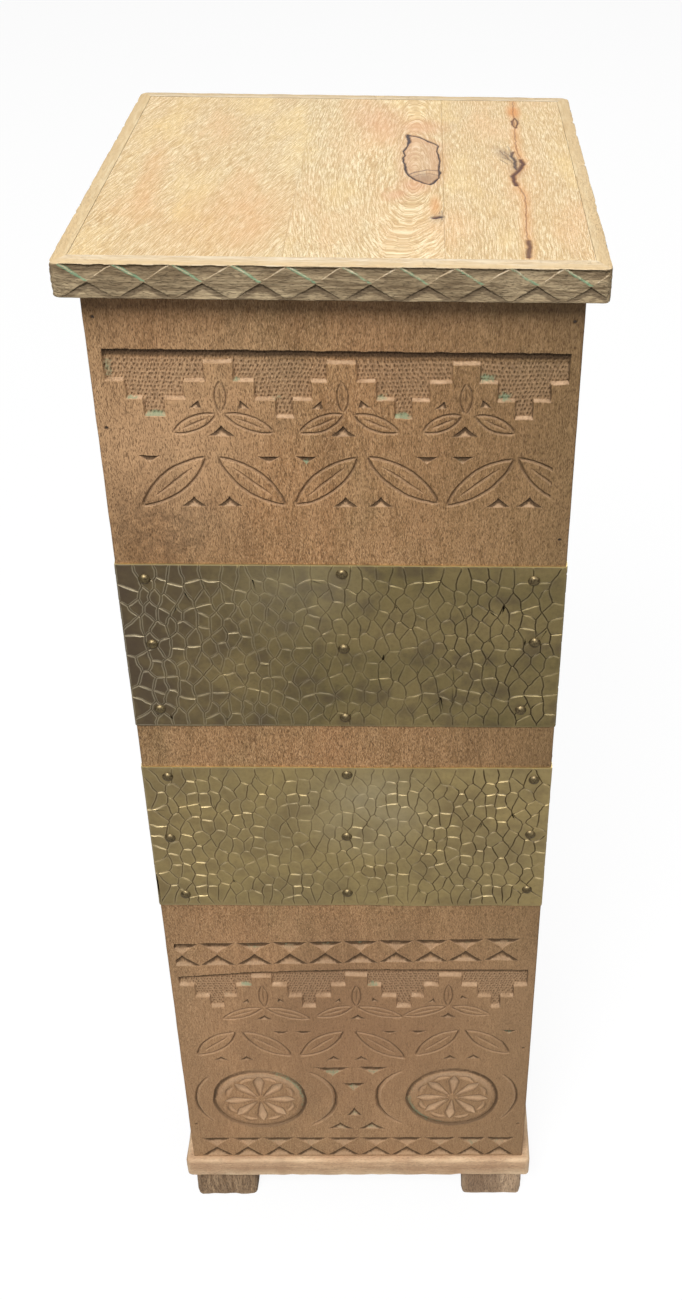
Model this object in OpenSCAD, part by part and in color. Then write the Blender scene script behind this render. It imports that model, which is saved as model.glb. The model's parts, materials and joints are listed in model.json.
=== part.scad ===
// A tall square pedestal side table of reclaimed wood. The front panel is chip carved,
// two sheets of embossed brass are nailed round the body, and the top is three boards
// held by four mitred rails that are carved with a row of diamonds.
// The origin is on the floor under the middle of the table. The front faces -Y.

/* [Body] */
// Width of the body, from side to side
body_w = 300; // [285:5:330]
// Depth of the body, from front to back
body_d = 300; // [285:5:330]
// Height of the body, from the base plate to the top
body_h = 858; // [840:1:890]
// Thickness of the front, back and side panels
panel_t = 18; // [15:0.5:22]

/* [Top] */
// How far the top stands out past the body on each side
top_over = 13; // [8:0.5:20]
// Thickness of the top
top_t = 22; // [20:0.5:28]
// Width of the front rail, seen from above
rail_front = 13; // [9:0.5:16]
// Width of the two side rails, seen from above
rail_side = 9; // [6:0.5:14]
// Width of the back rail, seen from above
rail_back = 10; // [7:0.5:15]
// Width of the middle board
mid_board_w = 95; // [80:1:110]
// How far the middle board lies to the right of the centre
mid_board_x = 18; // [0:1:25]
// Open seam between two boards of the top
seam = 0.3; // [0.2:0.1:0.8]

/* [Base] */
// Thickness of the base plate
plate_t = 22; // [16:1:28]
// How far the base plate stands out past the sides of the body
plate_over_side = 7; // [4:0.5:12]
// How far the base plate stands out past the front and the back of the body
plate_over_front = 5; // [3:0.5:10]
// Radius of the worn upper edge of the base plate
plate_round = 4; // [2:0.5:7]
// Side of each square foot
foot_w = 56; // [44:1:64]
// Height of each foot
foot_h = 40; // [28:1:55]
// How far the feet stand in from the edge of the base plate
foot_in = 6; // [2:0.5:12]
// Radius of the worn upright edges of a foot
foot_round = 2.5; // [1:0.5:6]

/* [Brass] */
// Thickness of the brass sheet
sheet_t = 0.8; // [0.5:0.1:1.5]
// Height of the lower edge of the lower band above the base plate
band_low_z = 333.5; // [328:0.5:345]
// Height of the lower band
band_low_h = 146.5; // [135:0.5:155]
// Wood left open between the two bands
band_gap = 40; // [30:1:50]
// Height of the upper band
band_up_h = 141; // [130:0.5:150]
// Length of the lap where a sheet closes on itself at the back
lap = 24; // [16:1:36]
// Radius of the head of a dome nail
nail_head_r = 4.2; // [3:0.1:5.5]
// Height of the head of a dome nail
nail_head_h = 2.6; // [1.6:0.1:3]
// Radius of the shank of a dome nail
nail_r = 0.9; // [0.6:0.1:1.2]
// Length of the shank of a dome nail
nail_len = 14; // [9:0.5:14.5]
// Distance of the outer nails from the corners, on the front and the back
nail_in = 19; // [16:0.5:24]
// Distance of the outer nails from the corners, on the two sides
nail_in_side = 26; // [25.5:0.5:32]
// Distance of the outer rows of nails from the edges of a band
nail_edge = 13; // [11:0.5:18]

/* [Carving] */
// Plain margin at the left and the right of the carved fields
field_in = 7.5; // [5:0.5:12]
// Depth of the sunk ground of a stepped frieze
ground_d = 2.4; // [1.5:0.1:3.5]
// Height of one step of a frieze
step_h = 12.6; // [11:0.1:13.5]
// Number of towers in a frieze
towers = 3; // [2:1:4]
// Width of a tower of a frieze
tower_w = 17.5; // [14:0.5:20]
// Plain ground above a tower
tower_gap = 8.8; // [5:0.1:11]
// Distance from the top down to the upper frieze
frieze_up = 39; // [30:1:42]
// How far the towers of the upper frieze stand to the right of the centre
frieze_up_x = 3.7; // [-5:0.1:5]
// Height of the upper edge of the lower frieze above the base plate
frieze_low = 251; // [249:0.5:256]
// How far the towers of the lower frieze stand to the right of the centre
frieze_low_x = 2.2; // [-5:0.1:5]
// Length of a large leaf
leaf_len = 57; // [50:0.5:58]
// Width of a large leaf
leaf_w = 16; // [11:0.5:18]
// Slope of a large leaf, in degrees
leaf_tilt = 41; // [36:1:45]
// Distance from one pair of large leaves to the next
leaf_pitch = 96; // [92:0.5:100]
// Space between the tips of a pair of leaves
leaf_part = 7; // [4:0.5:10]
// Distance from the towers of a frieze down to the large leaves
leaf_drop = 66.5; // [63:0.5:70]
// Where the first upper leaf starts, from the left of the field
leaf_start_up = 16; // [10:0.5:20]
// Where the first lower leaf starts, from the left of the field
leaf_start_low = 6.5; // [4:0.5:8]
// Width of the groove round a leaf
groove_w = 1.6; // [1:0.1:2.2]
// Depth of the groove round a leaf
groove_d = 0.9; // [0.6:0.1:1.4]
// Depth of the triangular chips
chip_d = 2.6; // [1.5:0.1:3.5]
// Height of a band of diamonds on the front panel
diamond_h = 26; // [22:0.5:28]
// Distance from one diamond to the next on the front panel
diamond_pitch = 28.8; // [26:0.1:31]
// Height of the middle of the upper band of diamonds above the base plate
diamond_up = 277; // [272:0.5:285]
// How far the upper band of diamonds stands to the left of the centre
diamond_up_x = 8.4; // [0:0.1:10]
// Height of the middle of the lower band of diamonds above the base plate
diamond_low = 14.5; // [14.2:0.1:18]
// Distance from one diamond to the next on the rails of the top
rail_pitch = 32.4; // [30:0.1:34]
// How far the diamonds of a rail stand to the right of its centre
rail_shift = 4.6; // [0:0.1:8]
// Depth of the chips on the rails
rail_chip_d = 2.2; // [1.2:0.1:3]

/* [Rosettes] */
// Distance of each rosette from the centre
rosette_x = 84.5; // [80:0.5:88]
// Height of the rosettes above the base plate
rosette_z = 85; // [80:0.5:90]
// Radius of the ring round a rosette
ring_r = 40.3; // [36:0.1:42]
// Width of the groove of a ring
ring_w = 4; // [2.5:0.1:5]
// Depth of the groove of a ring
ring_d = 2.4; // [1.5:0.1:3.5]
// Number of petals
petals = 8; // [6:1:10]
// Radius of the star that the petals make
star_r = 30; // [26:0.5:32]
// Width of a petal
petal_w = 7.5; // [5:0.1:8]
// Depth of a petal
petal_d = 2.2; // [1.4:0.1:3]
// Radius of the arcs beside a rosette
arc_r = 43; // [40:0.5:46]
// How far the arc towards the middle is moved from the centre of its rosette
arc_inner = 24; // [20:0.5:26]
// How far the arc towards the edge is moved from the centre of its rosette
arc_outer = 15; // [12:0.5:16]

/* [Fixings] */
// Radius of a panel pin
pin_r = 1.1; // [0.8:0.1:1.5]
// Length of a panel pin
pin_len = 34; // [28:1:40]
// How deep the head of a pin is sunk
pin_sunk = 1.2; // [0.5:0.1:2]
// Distance of the pins of the body from its sides
pin_in = 6; // [4.5:0.5:8]
// Radius of a screw
screw_r = 2; // [1.5:0.1:2.4]
// Radius of the head of a screw
screw_head_r = 4; // [3:0.1:5]
// Length of a screw
screw_len = 40; // [36:1:41]
// Depth of the holes that take the heads of the foot screws
foot_sunk = 14; // [10:1:18]
// Distance between the two screws of a foot
foot_screws = 26; // [18:1:30]
// Distance of the screws of the base plate from the middle of each side
base_screws = 60; // [40:1:75]
// Side of the cleats under the top
cleat = 24; // [22.5:0.5:30]
// Clearance round pins, nails and screws
fit = 0.1; // [0.05:0.01:0.2]

/* [Hidden] */
$fn = 48;

warm_wood = [0.55, 0.39, 0.26];
pale_wood = [0.83, 0.68, 0.48];
grey_wood = [0.52, 0.46, 0.38];
brass = [0.60, 0.50, 0.28];
iron = [0.30, 0.28, 0.26];

// Air that a cutting tool reaches into, outside the face that it cuts
air = 1;

body_z = foot_h + plate_t;
top_z = body_z + body_h;
top_w = body_w + 2 * top_over;
top_d = body_d + 2 * top_over;
plate_w = body_w + 2 * plate_over_side;
plate_d = body_d + 2 * plate_over_front;
field_w = body_w - 2 * field_in;
band_up_z = band_low_z + band_low_h + band_gap;

// The four sides are counted from the front to the right, the back and the left.
FRONT = 0;
RIGHT = 1;
BACK = 2;
LEFT = 3;
SIDES = [FRONT, RIGHT, BACK, LEFT];
function is_end(side) = side % 2 == 1;

// Where the hand-set nails of a face wander from their even places: three rows of
// three from the top, left to right, as seen from that face
upper_drift = [
    [[-0.6, 0.8], [0, 5.9], [-2.3, 1.5]],
    [[-0.6, 3.1], [0, 0], [0.8, 6.6]],
    [[-0.6, 2.1], [-0.4, -5], [-6.3, 2.9]]
];
lower_drift = [
    [[-1, 3], [-0.4, 5.5], [6.5, 1.3]],
    [[-4.5, 0.5], [-1.8, 2.3], [6.5, 5.3]],
    [[2, -0.9], [-2.6, 0.9], [6.7, 5.3]]
];
// The nails of the two sides keep nearer to their even places
side_drift = 0.5;
// Heights of the body's pins: from the base plate up, and from the top down
pins_from_base = [48, 155, 305, band_low_z + band_low_h + band_gap / 2];
pins_from_top = [18, 94, 176];

// Places on the table

// Puts what is drawn flat onto one upright face of a block: x runs to the right and
// y up, as seen from that side, and z runs out of the face.
module on_face(side, w, d, z) {
    rotate([0, 0, 90 * side])
        translate([0, -(is_end(side) ? w : d) / 2, z])
            rotate([90, 0, 0])
                children();
}

module on_body(side) on_face(side, body_w, body_d, body_z) children();

module on_rail(side) on_face(side, top_w, top_d, top_z) children();

// Puts what points out of a face onto the underside of a piece.
module under(x, y, z) translate([x, y, z]) rotate([180, 0, 0]) children();

module left_and_right(x) for (s = [-1, 1]) translate([s * x, 0, 0]) children();

// Fixings. Each runs into the wood along -z. Given a clearance it is the hole that
// takes it, open to the air.

module peg(r, l, sunk, clear = 0) {
    mouth = clear > 0 ? sunk + air : 0;
    translate([0, 0, -sunk - l - clear]) cylinder(r = r + clear, h = l + clear + mouth);
}

module dome_nail(clear = 0) {
    dome_r = (pow(nail_head_r, 2) + pow(nail_head_h, 2)) / (2 * nail_head_h);
    mouth = clear > 0 ? sheet_t + air : sheet_t;
    translate([0, 0, -nail_len - clear])
        cylinder(r = nail_r + clear, h = nail_len + clear + mouth);
    if (clear == 0)
        translate([0, 0, sheet_t])
            intersection() {
                translate([0, 0, nail_head_h - dome_r]) sphere(r = dome_r);
                cylinder(r = 2 * nail_head_r, h = 2 * nail_head_h);
            }
}

module wood_screw(sunk, clear = 0) {
    head_h = screw_head_r - screw_r;
    tip_h = 2 * screw_r;
    translate([0, 0, -sunk - screw_len + tip_h])
        cylinder(r = screw_r + clear, h = screw_len - tip_h - head_h);
    translate([0, 0, -sunk - screw_len - clear])
        cylinder(r1 = screw_r / 4, r2 = screw_r + clear, h = tip_h + clear);
    translate([0, 0, -sunk - head_h])
        cylinder(r1 = screw_r + clear, r2 = screw_head_r + clear, h = head_h);
    if (clear > 0)
        translate([0, 0, -sunk]) cylinder(r = screw_head_r + clear, h = sunk + air);
}

// The middle nails of the back go through the lap, so they stand one sheet further out.
module band_nails(side, z, h, drift, clear = 0) {
    even_x = is_end(side) ? body_d / 2 - nail_in_side : body_w / 2 - nail_in;
    wander = is_end(side) ? side_drift : 1;
    on_body(side)
        for (row = [0:2], column = [0:2])
            translate([
                (column - 1) * even_x + wander * drift[row][column].x,
                z + h - nail_edge - row * (h / 2 - nail_edge) + wander * drift[row][column].y,
                side == BACK && column == 1 ? sheet_t : 0
            ])
                dome_nail(clear);
}

module lower_nails(side, clear = 0)
    band_nails(side, band_low_z, band_low_h, lower_drift, clear);

module upper_nails(side, clear = 0)
    band_nails(side, band_up_z, band_up_h, upper_drift, clear);

// The pins that hold the front or the back panel to the edges of the side panels
module body_pins(side, clear = 0) {
    heights = concat(pins_from_base, [for (down = pins_from_top) body_h - down]);
    on_body(side)
        for (z = heights)
            left_and_right(body_w / 2 - pin_in)
                translate([0, z, 0]) peg(pin_r, pin_len, pin_sunk, clear);
}

// A pin through the middle of a diamond near each end of a rail
module rail_pin_pair(side, clear = 0) {
    steps = is_end(side) ? 3 : 4;
    on_rail(side)
        for (s = [-1, 1])
            translate([rail_shift + s * steps * rail_pitch, top_t / 2, 0])
                peg(pin_r, pin_len, pin_sunk, clear);
}

module plate_screws(clear = 0) {
    head = screw_head_r - screw_r;
    for (s = [-1, 1], t = [-1, 1]) {
        under(s * base_screws, t * (body_d - panel_t) / 2, foot_h) wood_screw(head, clear);
        under(s * (body_w - panel_t) / 2, t * base_screws, foot_h) wood_screw(head, clear);
    }
}

function foot_x() = plate_w / 2 - foot_in - foot_w / 2;
function foot_y() = plate_d / 2 - foot_in - foot_w / 2;

module foot_screw_pair(sx, sy, clear = 0) {
    for (t = [-1, 1])
        under(sx * foot_x() + t * foot_screws / 2, sy * foot_y(), 0)
            wood_screw(foot_sunk, clear);
}

board_edges = [
    -top_w / 2 + rail_side,
    mid_board_x - mid_board_w / 2,
    mid_board_x + mid_board_w / 2,
    top_w / 2 - rail_side
];

// One screw from a cleat into each board of the top
module top_screws(s, clear = 0) {
    cleat_end = body_w / 2 - panel_t;
    for (i = [0:2]) {
        left = max(board_edges[i], -cleat_end);
        right = min(board_edges[i + 1], cleat_end);
        under((left + right) / 2, s * (body_d / 2 - panel_t - cleat / 2), top_z - cleat)
            wood_screw(0, clear);
    }
}

// Carving tools. Each is drawn on a face: x and y lie in it, and z < 0 is the wood.

// A straight or hollow-sided triangle, deepest at its point (0, h), whose floor rises
// to the surface at its base on the x axis. Hollow sides are cut by their arcs alone, so
// there the triangle is drawn larger.
module chip(w, h, d, hollow = 0) {
    side_len = norm([w / 2, h]);
    out = [-h, w / 2] / side_len;
    arc = hollow > 0 ? (pow(side_len / 2, 2) + pow(hollow, 2)) / (2 * hollow) : 0;
    intersection() {
        translate([0, 0, -d - air])
            linear_extrude(d + 2 * air)
                difference() {
                    polygon([
                        [-w / 2 * (1 + air / h) - 2 * hollow, -air],
                        [w / 2 * (1 + air / h) + 2 * hollow, -air],
                        [0, h + hollow]
                    ]);
                    if (hollow > 0)
                        for (s = [-1, 1])
                            translate([
                                s * (w / 4 - out.x * (arc - hollow)),
                                h / 2 + out.y * (arc - hollow)
                            ])
                                circle(r = arc, $fn = 96);
                }
        rotate([90, 0, 90])
            translate([0, 0, -w])
                linear_extrude(2 * w)
                    polygon([
                        [-air, air * d / h], [h + air, -d * (1 + air / h)],
                        [h + air, air], [-air, air]
                    ]);
    }
}

// A V-shaped groove along an arc round the origin
module arc_groove(r, from, to, w, d) {
    spread = w / 2 * (1 + air / d);
    rotate([0, 0, from])
        rotate_extrude(angle = to - from, $fn = 96)
            polygon([[r - spread, air], [r, -d], [r + spread, air]]);
}

// A pointed lens, l long, w wide and d deep: the arc of a V-edged wheel that dips
// into the wood
module lens(l, w, d) {
    wheel_r = (pow(l / 2, 2) + pow(d, 2)) / (2 * d);
    spread = w / 2 * (1 + air / d);
    reach = 1.1 * asin(l / 2 / wheel_r);
    translate([0, 0, wheel_r - d])
        rotate([90, 0, 0])
            rotate([0, 0, 270 - reach])
                rotate_extrude(angle = 2 * reach, $fn = 96)
                    polygon([
                        [wheel_r, 0], [wheel_r - d - air, spread],
                        [wheel_r - d - air, -spread]
                    ]);
}

// A leaf along x: two grooves that cross at the tips, the lower one a little shallower,
// and a vein
module leaf(l, w) {
    r = (pow(l / 2, 2) + pow(w / 2, 2)) / w;
    reach = 1.04 * asin(l / 2 / r);
    for (s = [-1, 1])
        translate([0, -s * (r - w / 2), 0])
            arc_groove(
                r, 90 * s - reach, 90 * s + reach, groove_w, (s < 0 ? 0.85 : 1) * groove_d
            );
    lens(0.6 * l, groove_w, groove_d);
}

// Carved patterns, laid out from the middle of the base of the front panel

// The centre of each tower of a frieze, counted from the left
function tower_x(i, shift) = shift + (i - (towers - 1) / 2) * (field_w + tower_w) / (towers + 1);

// The steps between two towers go down twice and up twice.
step_levels = [1, 2, 3, 2, 1];
steps = len(step_levels);

// The ends of the flight of steps before tower i
function flight_from(i, shift) = i == 0 ? -field_w / 2 : tower_x(i - 1, shift) + tower_w / 2;
function flight_to(i, shift) = i == towers ? field_w / 2 : tower_x(i, shift) - tower_w / 2;

// The sunk ground of a frieze, with a straight upper edge at y = 0
module stepped_ground(shift) {
    edge = [
        for (i = [0:towers], k = [0:steps - 1], end = [0, 1])
            let (from = flight_from(i, shift), run = flight_to(i, shift) - from)
            [from + run * (k + end) / steps, -tower_gap - step_h * step_levels[k]]
    ];
    towers_cut = [
        for (i = [0:len(edge) - 1])
            let (first = i % (2 * steps) == 0, last = i % (2 * steps) == 2 * steps - 1)
            each [
                if (first && i > 0) [edge[i].x, -tower_gap],
                edge[i],
                if (last && i < len(edge) - 1) [edge[i].x, -tower_gap]
            ]
    ];
    translate([0, 0, -ground_d])
        linear_extrude(ground_d + air)
            polygon(concat([[-field_w / 2, 0]], towers_cut, [[field_w / 2, 0]]));
}

// What stands on a tower: an upright leaf, two small chips, two lying leaves and
// a chip between them
module tower_motif() {
    upright_l = 21;
    upright_w = 6.6;
    upright_down = 12.5 + upright_l / 2;
    side_chip = [15, -31];
    lying_l = 31.5;
    lying_w = 10;
    lying_tilt = 25;
    lying = [17, -42.3];
    between_down = 51.6;
    translate([0, -upright_down, 0]) rotate([0, 0, 90]) leaf(upright_l, upright_w);
    for (s = [-1, 1]) {
        translate([s * side_chip.x, side_chip.y, 0])
            rotate([0, 0, s * 20]) chip(7.5, 5.5, chip_d / 2, 0.8);
        translate([s * lying.x, lying.y, 0])
            rotate([0, 0, -s * lying_tilt]) leaf(lying_l, lying_w);
    }
    translate([0, -between_down, 0]) chip(16.5, 8, chip_d, 1.6);
}

module frieze(y, shift) {
    translate([0, y, 0]) {
        stepped_ground(shift);
        for (i = [0:towers - 1])
            translate([tower_x(i, shift), -tower_gap, 0]) tower_motif();
    }
}

// The row of leaf pairs under a frieze. It is set out from the left, so a last leaf
// that runs past the field is cut off there.
module leaf_row(y, first_foot) {
    outer_chip_x = 37.5;
    inner_chip_x = 11.4;
    rise = leaf_len * sin(leaf_tilt);
    half_span = leaf_part / 2 + leaf_len * cos(leaf_tilt);
    pairs = ceil((field_w - first_foot) / leaf_pitch - 0.4);
    intersection() {
        for (i = [0:pairs - 1])
            translate([-field_w / 2 + first_foot + half_span + i * leaf_pitch, y, 0])
                for (s = [-1, 1]) {
                    translate([s * (leaf_part / 2 + half_span) / 2, -rise / 2, 0])
                        rotate([0, 0, -s * leaf_tilt]) leaf(leaf_len, leaf_w);
                    if (i < pairs - 1 || s < 0)
                        translate([s * outer_chip_x, 0, 0])
                            mirror([0, 1, 0]) chip(14.5, 5.5, chip_d, 1);
                    translate([s * inner_chip_x, -rise, 0]) chip(15.5, 8, chip_d, 1.6);
                }
        translate([-field_w / 2, y - 2 * rise, -chip_d - air])
            cube([field_w, 3 * rise, chip_d + 2 * air]);
    }
}

// A row of raised diamonds, cut free by a chip above and a chip below each crossing
module diamonds(run, h, pitch, shift, d, hollow) {
    neck = 0.8;
    count = floor(run / pitch) + 1;
    for (i = [0:count - 1], s = [-1, 1])
        translate([shift + (i - (count - 1) / 2) * pitch, -s * h / 2, 0])
            mirror([0, s < 0 ? 1 : 0, 0])
                chip(pitch - neck, (h - neck) / 2, d, hollow);
}

module rosette() {
    petal_l = star_r - 4;
    arc_groove(ring_r, 0, 360, ring_w, ring_d);
    for (k = [0:petals - 1]) {
        rotate([0, 0, 360 * k / petals])
            translate([star_r - petal_l / 2, 0, 0]) lens(petal_l, petal_w, petal_d);
        rotate([0, 0, 360 * (k + 0.5) / petals])
            translate([star_r, 0, 0])
                rotate([0, 0, 90]) lens(0.52 * star_r, 3.6, petal_d / 2);
    }
}

// A rosette with an arc at each side of it; s is -1 on the left and 1 on the right
module rosette_with_arcs(s) {
    rosette();
    facing = s < 0 ? 0 : 180;
    rotate([0, 0, facing]) {
        translate([arc_inner, 0, 0]) arc_groove(arc_r, -58, 58, 0.7 * ring_w, 0.7 * ring_d);
        translate([-arc_outer, 0, 0]) arc_groove(arc_r, 138, 222, 0.6 * ring_w, 0.6 * ring_d);
    }
}

// The chips between the rosettes
module middle_chips() {
    left_and_right(16) translate([0, ring_r + 2.7, 0]) mirror([0, 1, 0]) chip(27, 11, chip_d, 2);
    translate([0, ring_r / 2 + 1, 0]) mirror([0, 1, 0]) chip(19, 11, chip_d, 2);
    translate([0, -ring_r / 2 - 4, 0]) chip(12.5, 12, chip_d, 0.8);
    left_and_right(13.5) translate([0, -ring_r - 3.7, 0]) chip(23, 9.5, chip_d, 1.6);
}

// A band of diamonds; where it reaches the end of the field it is cut off there.
module diamond_band(z, shift) {
    intersection() {
        translate([0, z, 0])
            diamonds(field_w - diamond_pitch / 2, diamond_h, diamond_pitch, shift, chip_d, 0.8);
        translate([-field_w / 2, z - diamond_h, -chip_d - air])
            cube([field_w, 2 * diamond_h, chip_d + 2 * air]);
    }
}

module carving() {
    frieze(body_h - frieze_up, frieze_up_x);
    leaf_row(body_h - frieze_up - tower_gap - leaf_drop, leaf_start_up);
    diamond_band(diamond_up, -diamond_up_x);
    frieze(frieze_low, frieze_low_x);
    leaf_row(frieze_low - tower_gap - leaf_drop, leaf_start_low);
    translate([0, rosette_z, 0]) {
        for (s = [-1, 1]) translate([s * rosette_x, 0, 0]) rosette_with_arcs(s);
        middle_chips();
    }
    diamond_band(diamond_low, 0);
}

// The pieces of the body

module side_holes(side) {
    lower_nails(side, fit);
    upper_nails(side, fit);
}

module main_panel(side) {
    difference() {
        on_body(side)
            translate([-body_w / 2, 0, -panel_t]) cube([body_w, body_h, panel_t]);
        side_holes(side);
        body_pins(side, fit);
        plate_screws(fit);
    }
}

module front_panel() {
    color(warm_wood)
        difference() {
            main_panel(FRONT);
            on_body(FRONT) carving();
        }
}

module back_panel() color(warm_wood) main_panel(BACK);

module side_panel(side) {
    color(warm_wood)
        difference() {
            on_body(side)
                translate([-body_d / 2 + panel_t, 0, -panel_t])
                    cube([body_d - 2 * panel_t, body_h, panel_t]);
            side_holes(side);
            body_pins(FRONT, fit);
            body_pins(BACK, fit);
            plate_screws(fit);
        }
}

module left_panel() side_panel(LEFT);
module right_panel() side_panel(RIGHT);

module front_pins() color(iron) body_pins(FRONT);
module back_pins() color(iron) body_pins(BACK);

module cleat_piece(s) {
    color(pale_wood)
        difference() {
            translate([
                -body_w / 2 + panel_t,
                s * (body_d / 2 - panel_t - cleat / 2) - cleat / 2,
                top_z - cleat
            ])
                cube([body_w - 2 * panel_t, cleat, cleat]);
            top_screws(s, fit);
        }
}

module front_cleat() cleat_piece(-1);
module back_cleat() cleat_piece(1);

module cleat_screws() color(iron) for (s = [-1, 1]) top_screws(s);

// The brass: a sheet bent round the body, closed by a lap at the back

module brass_band(z, h) {
    color(brass)
        difference() {
            translate([0, 0, body_z + z]) {
                linear_extrude(h)
                    square([body_w + 2 * sheet_t, body_d + 2 * sheet_t], center = true);
                translate([-lap / 2, 0, 0])
                    cube([lap, body_d / 2 + 2 * sheet_t, h]);
            }
            translate([-body_w / 2, -body_d / 2, body_z + z - air])
                cube([body_w, body_d, h + 2 * air]);
            if (z == band_low_z) for (side = SIDES) lower_nails(side, fit);
            else for (side = SIDES) upper_nails(side, fit);
        }
}

module brass_band_lower() brass_band(band_low_z, band_low_h);
module brass_band_upper() brass_band(band_up_z, band_up_h);
module lower_band_nails() color(brass) for (side = SIDES) lower_nails(side);
module upper_band_nails() color(brass) for (side = SIDES) upper_nails(side);

// The top

module top_board(i) {
    left = board_edges[i] + (i > 0 ? seam / 2 : 0);
    right = board_edges[i + 1] - (i < 2 ? seam / 2 : 0);
    color(pale_wood)
        difference() {
            translate([left, -top_d / 2 + rail_front, top_z])
                cube([right - left, top_d - rail_front - rail_back, top_t]);
            for (s = [-1, 1]) top_screws(s, fit);
            for (side = SIDES) rail_pin_pair(side, fit);
        }
}

module top_board_left() top_board(0);
module top_board_middle() top_board(1);
module top_board_right() top_board(2);

// A rail with mitred ends; the inner corners lie where the rails' widths meet.
module top_rail(side) {
    rail_end = 10;
    rail_edge = 0.8;
    inner = [
        [-top_w / 2 + rail_side, -top_d / 2 + rail_front],
        [top_w / 2 - rail_side, -top_d / 2 + rail_front],
        [top_w / 2 - rail_side, top_d / 2 - rail_back],
        [-top_w / 2 + rail_side, top_d / 2 - rail_back]
    ];
    outer = [
        [-top_w / 2, -top_d / 2], [top_w / 2, -top_d / 2],
        [top_w / 2, top_d / 2], [-top_w / 2, top_d / 2]
    ];
    next = (side + 1) % 4;
    color(grey_wood)
        difference() {
            translate([0, 0, top_z])
                linear_extrude(top_t)
                    polygon([outer[side], outer[next], inner[next], inner[side]]);
            on_rail(side)
                translate([0, top_t / 2, 0])
                    diamonds(
                        (is_end(side) ? top_d : top_w) - 2 * rail_end,
                        top_t - 2 * rail_edge, rail_pitch, rail_shift, rail_chip_d, 0
                    );
            rail_pin_pair(side, fit);
        }
}

module top_rail_front() top_rail(FRONT);
module top_rail_right() top_rail(RIGHT);
module top_rail_back() top_rail(BACK);
module top_rail_left() top_rail(LEFT);
module rail_pins() color(iron) for (side = SIDES) rail_pin_pair(side);

// The base

// A flat outline with round corners
module round_square(w, d, r) {
    square([w - 2 * r, d], center = true);
    square([w, d - 2 * r], center = true);
    for (sx = [-1, 1], sy = [-1, 1])
        translate([sx * (w / 2 - r), sy * (d / 2 - r)]) circle(r = r);
}

// The end view of the plate, with its upper edges worn round
module plate_profile(w) {
    intersection() {
        translate([0, -plate_t / 2]) round_square(w, 3 * plate_t, plate_round);
        translate([-w / 2, 0]) square([w, plate_t]);
    }
}

module base_plate() {
    color(pale_wood)
        difference() {
            translate([0, 0, foot_h])
                intersection() {
                    translate([0, plate_d / 2, 0])
                        rotate([90, 0, 0]) linear_extrude(plate_d) plate_profile(plate_w);
                    translate([-plate_w / 2, 0, 0])
                        rotate([90, 0, 90]) linear_extrude(plate_w) plate_profile(plate_d);
                }
            plate_screws(fit);
            for (sx = [-1, 1], sy = [-1, 1]) foot_screw_pair(sx, sy, fit);
        }
}

module base_screws_set() color(iron) plate_screws();

module foot(sx, sy) {
    color(grey_wood)
        difference() {
            translate([sx * foot_x(), sy * foot_y(), 0])
                linear_extrude(foot_h) round_square(foot_w, foot_w, foot_round);
            foot_screw_pair(sx, sy, fit);
        }
}

module foot_front_left() foot(-1, -1);
module foot_front_right() foot(1, -1);
module foot_back_left() foot(-1, 1);
module foot_back_right() foot(1, 1);
module foot_screws_set() color(iron) for (sx = [-1, 1], sy = [-1, 1]) foot_screw_pair(sx, sy);

foot_front_left();
foot_front_right();
foot_back_left();
foot_back_right();
foot_screws_set();
base_plate();
base_screws_set();
front_panel();
back_panel();
left_panel();
right_panel();
front_pins();
back_pins();
front_cleat();
back_cleat();
cleat_screws();
brass_band_lower();
brass_band_upper();
lower_band_nails();
upper_band_nails();
top_board_left();
top_board_middle();
top_board_right();
top_rail_front();
top_rail_right();
top_rail_back();
top_rail_left();
rail_pins();
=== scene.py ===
# %% [markdown]
# # A carved side table with brass bands
#
# The table is a tall square box of old hardwood. Its front is chip carved, two sheets of
# embossed brass are nailed round it, and a top of three pale boards lies in a carved frame.
# The CAD model gives the exact places. This lesson makes the surfaces: carving with a hand's
# wobble, crackled brass, domed nails, knots and grain.

# %% Load the frame and keep its size
import json
import math

import bpy
import numpy as np
from mathutils import Matrix, Vector

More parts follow.
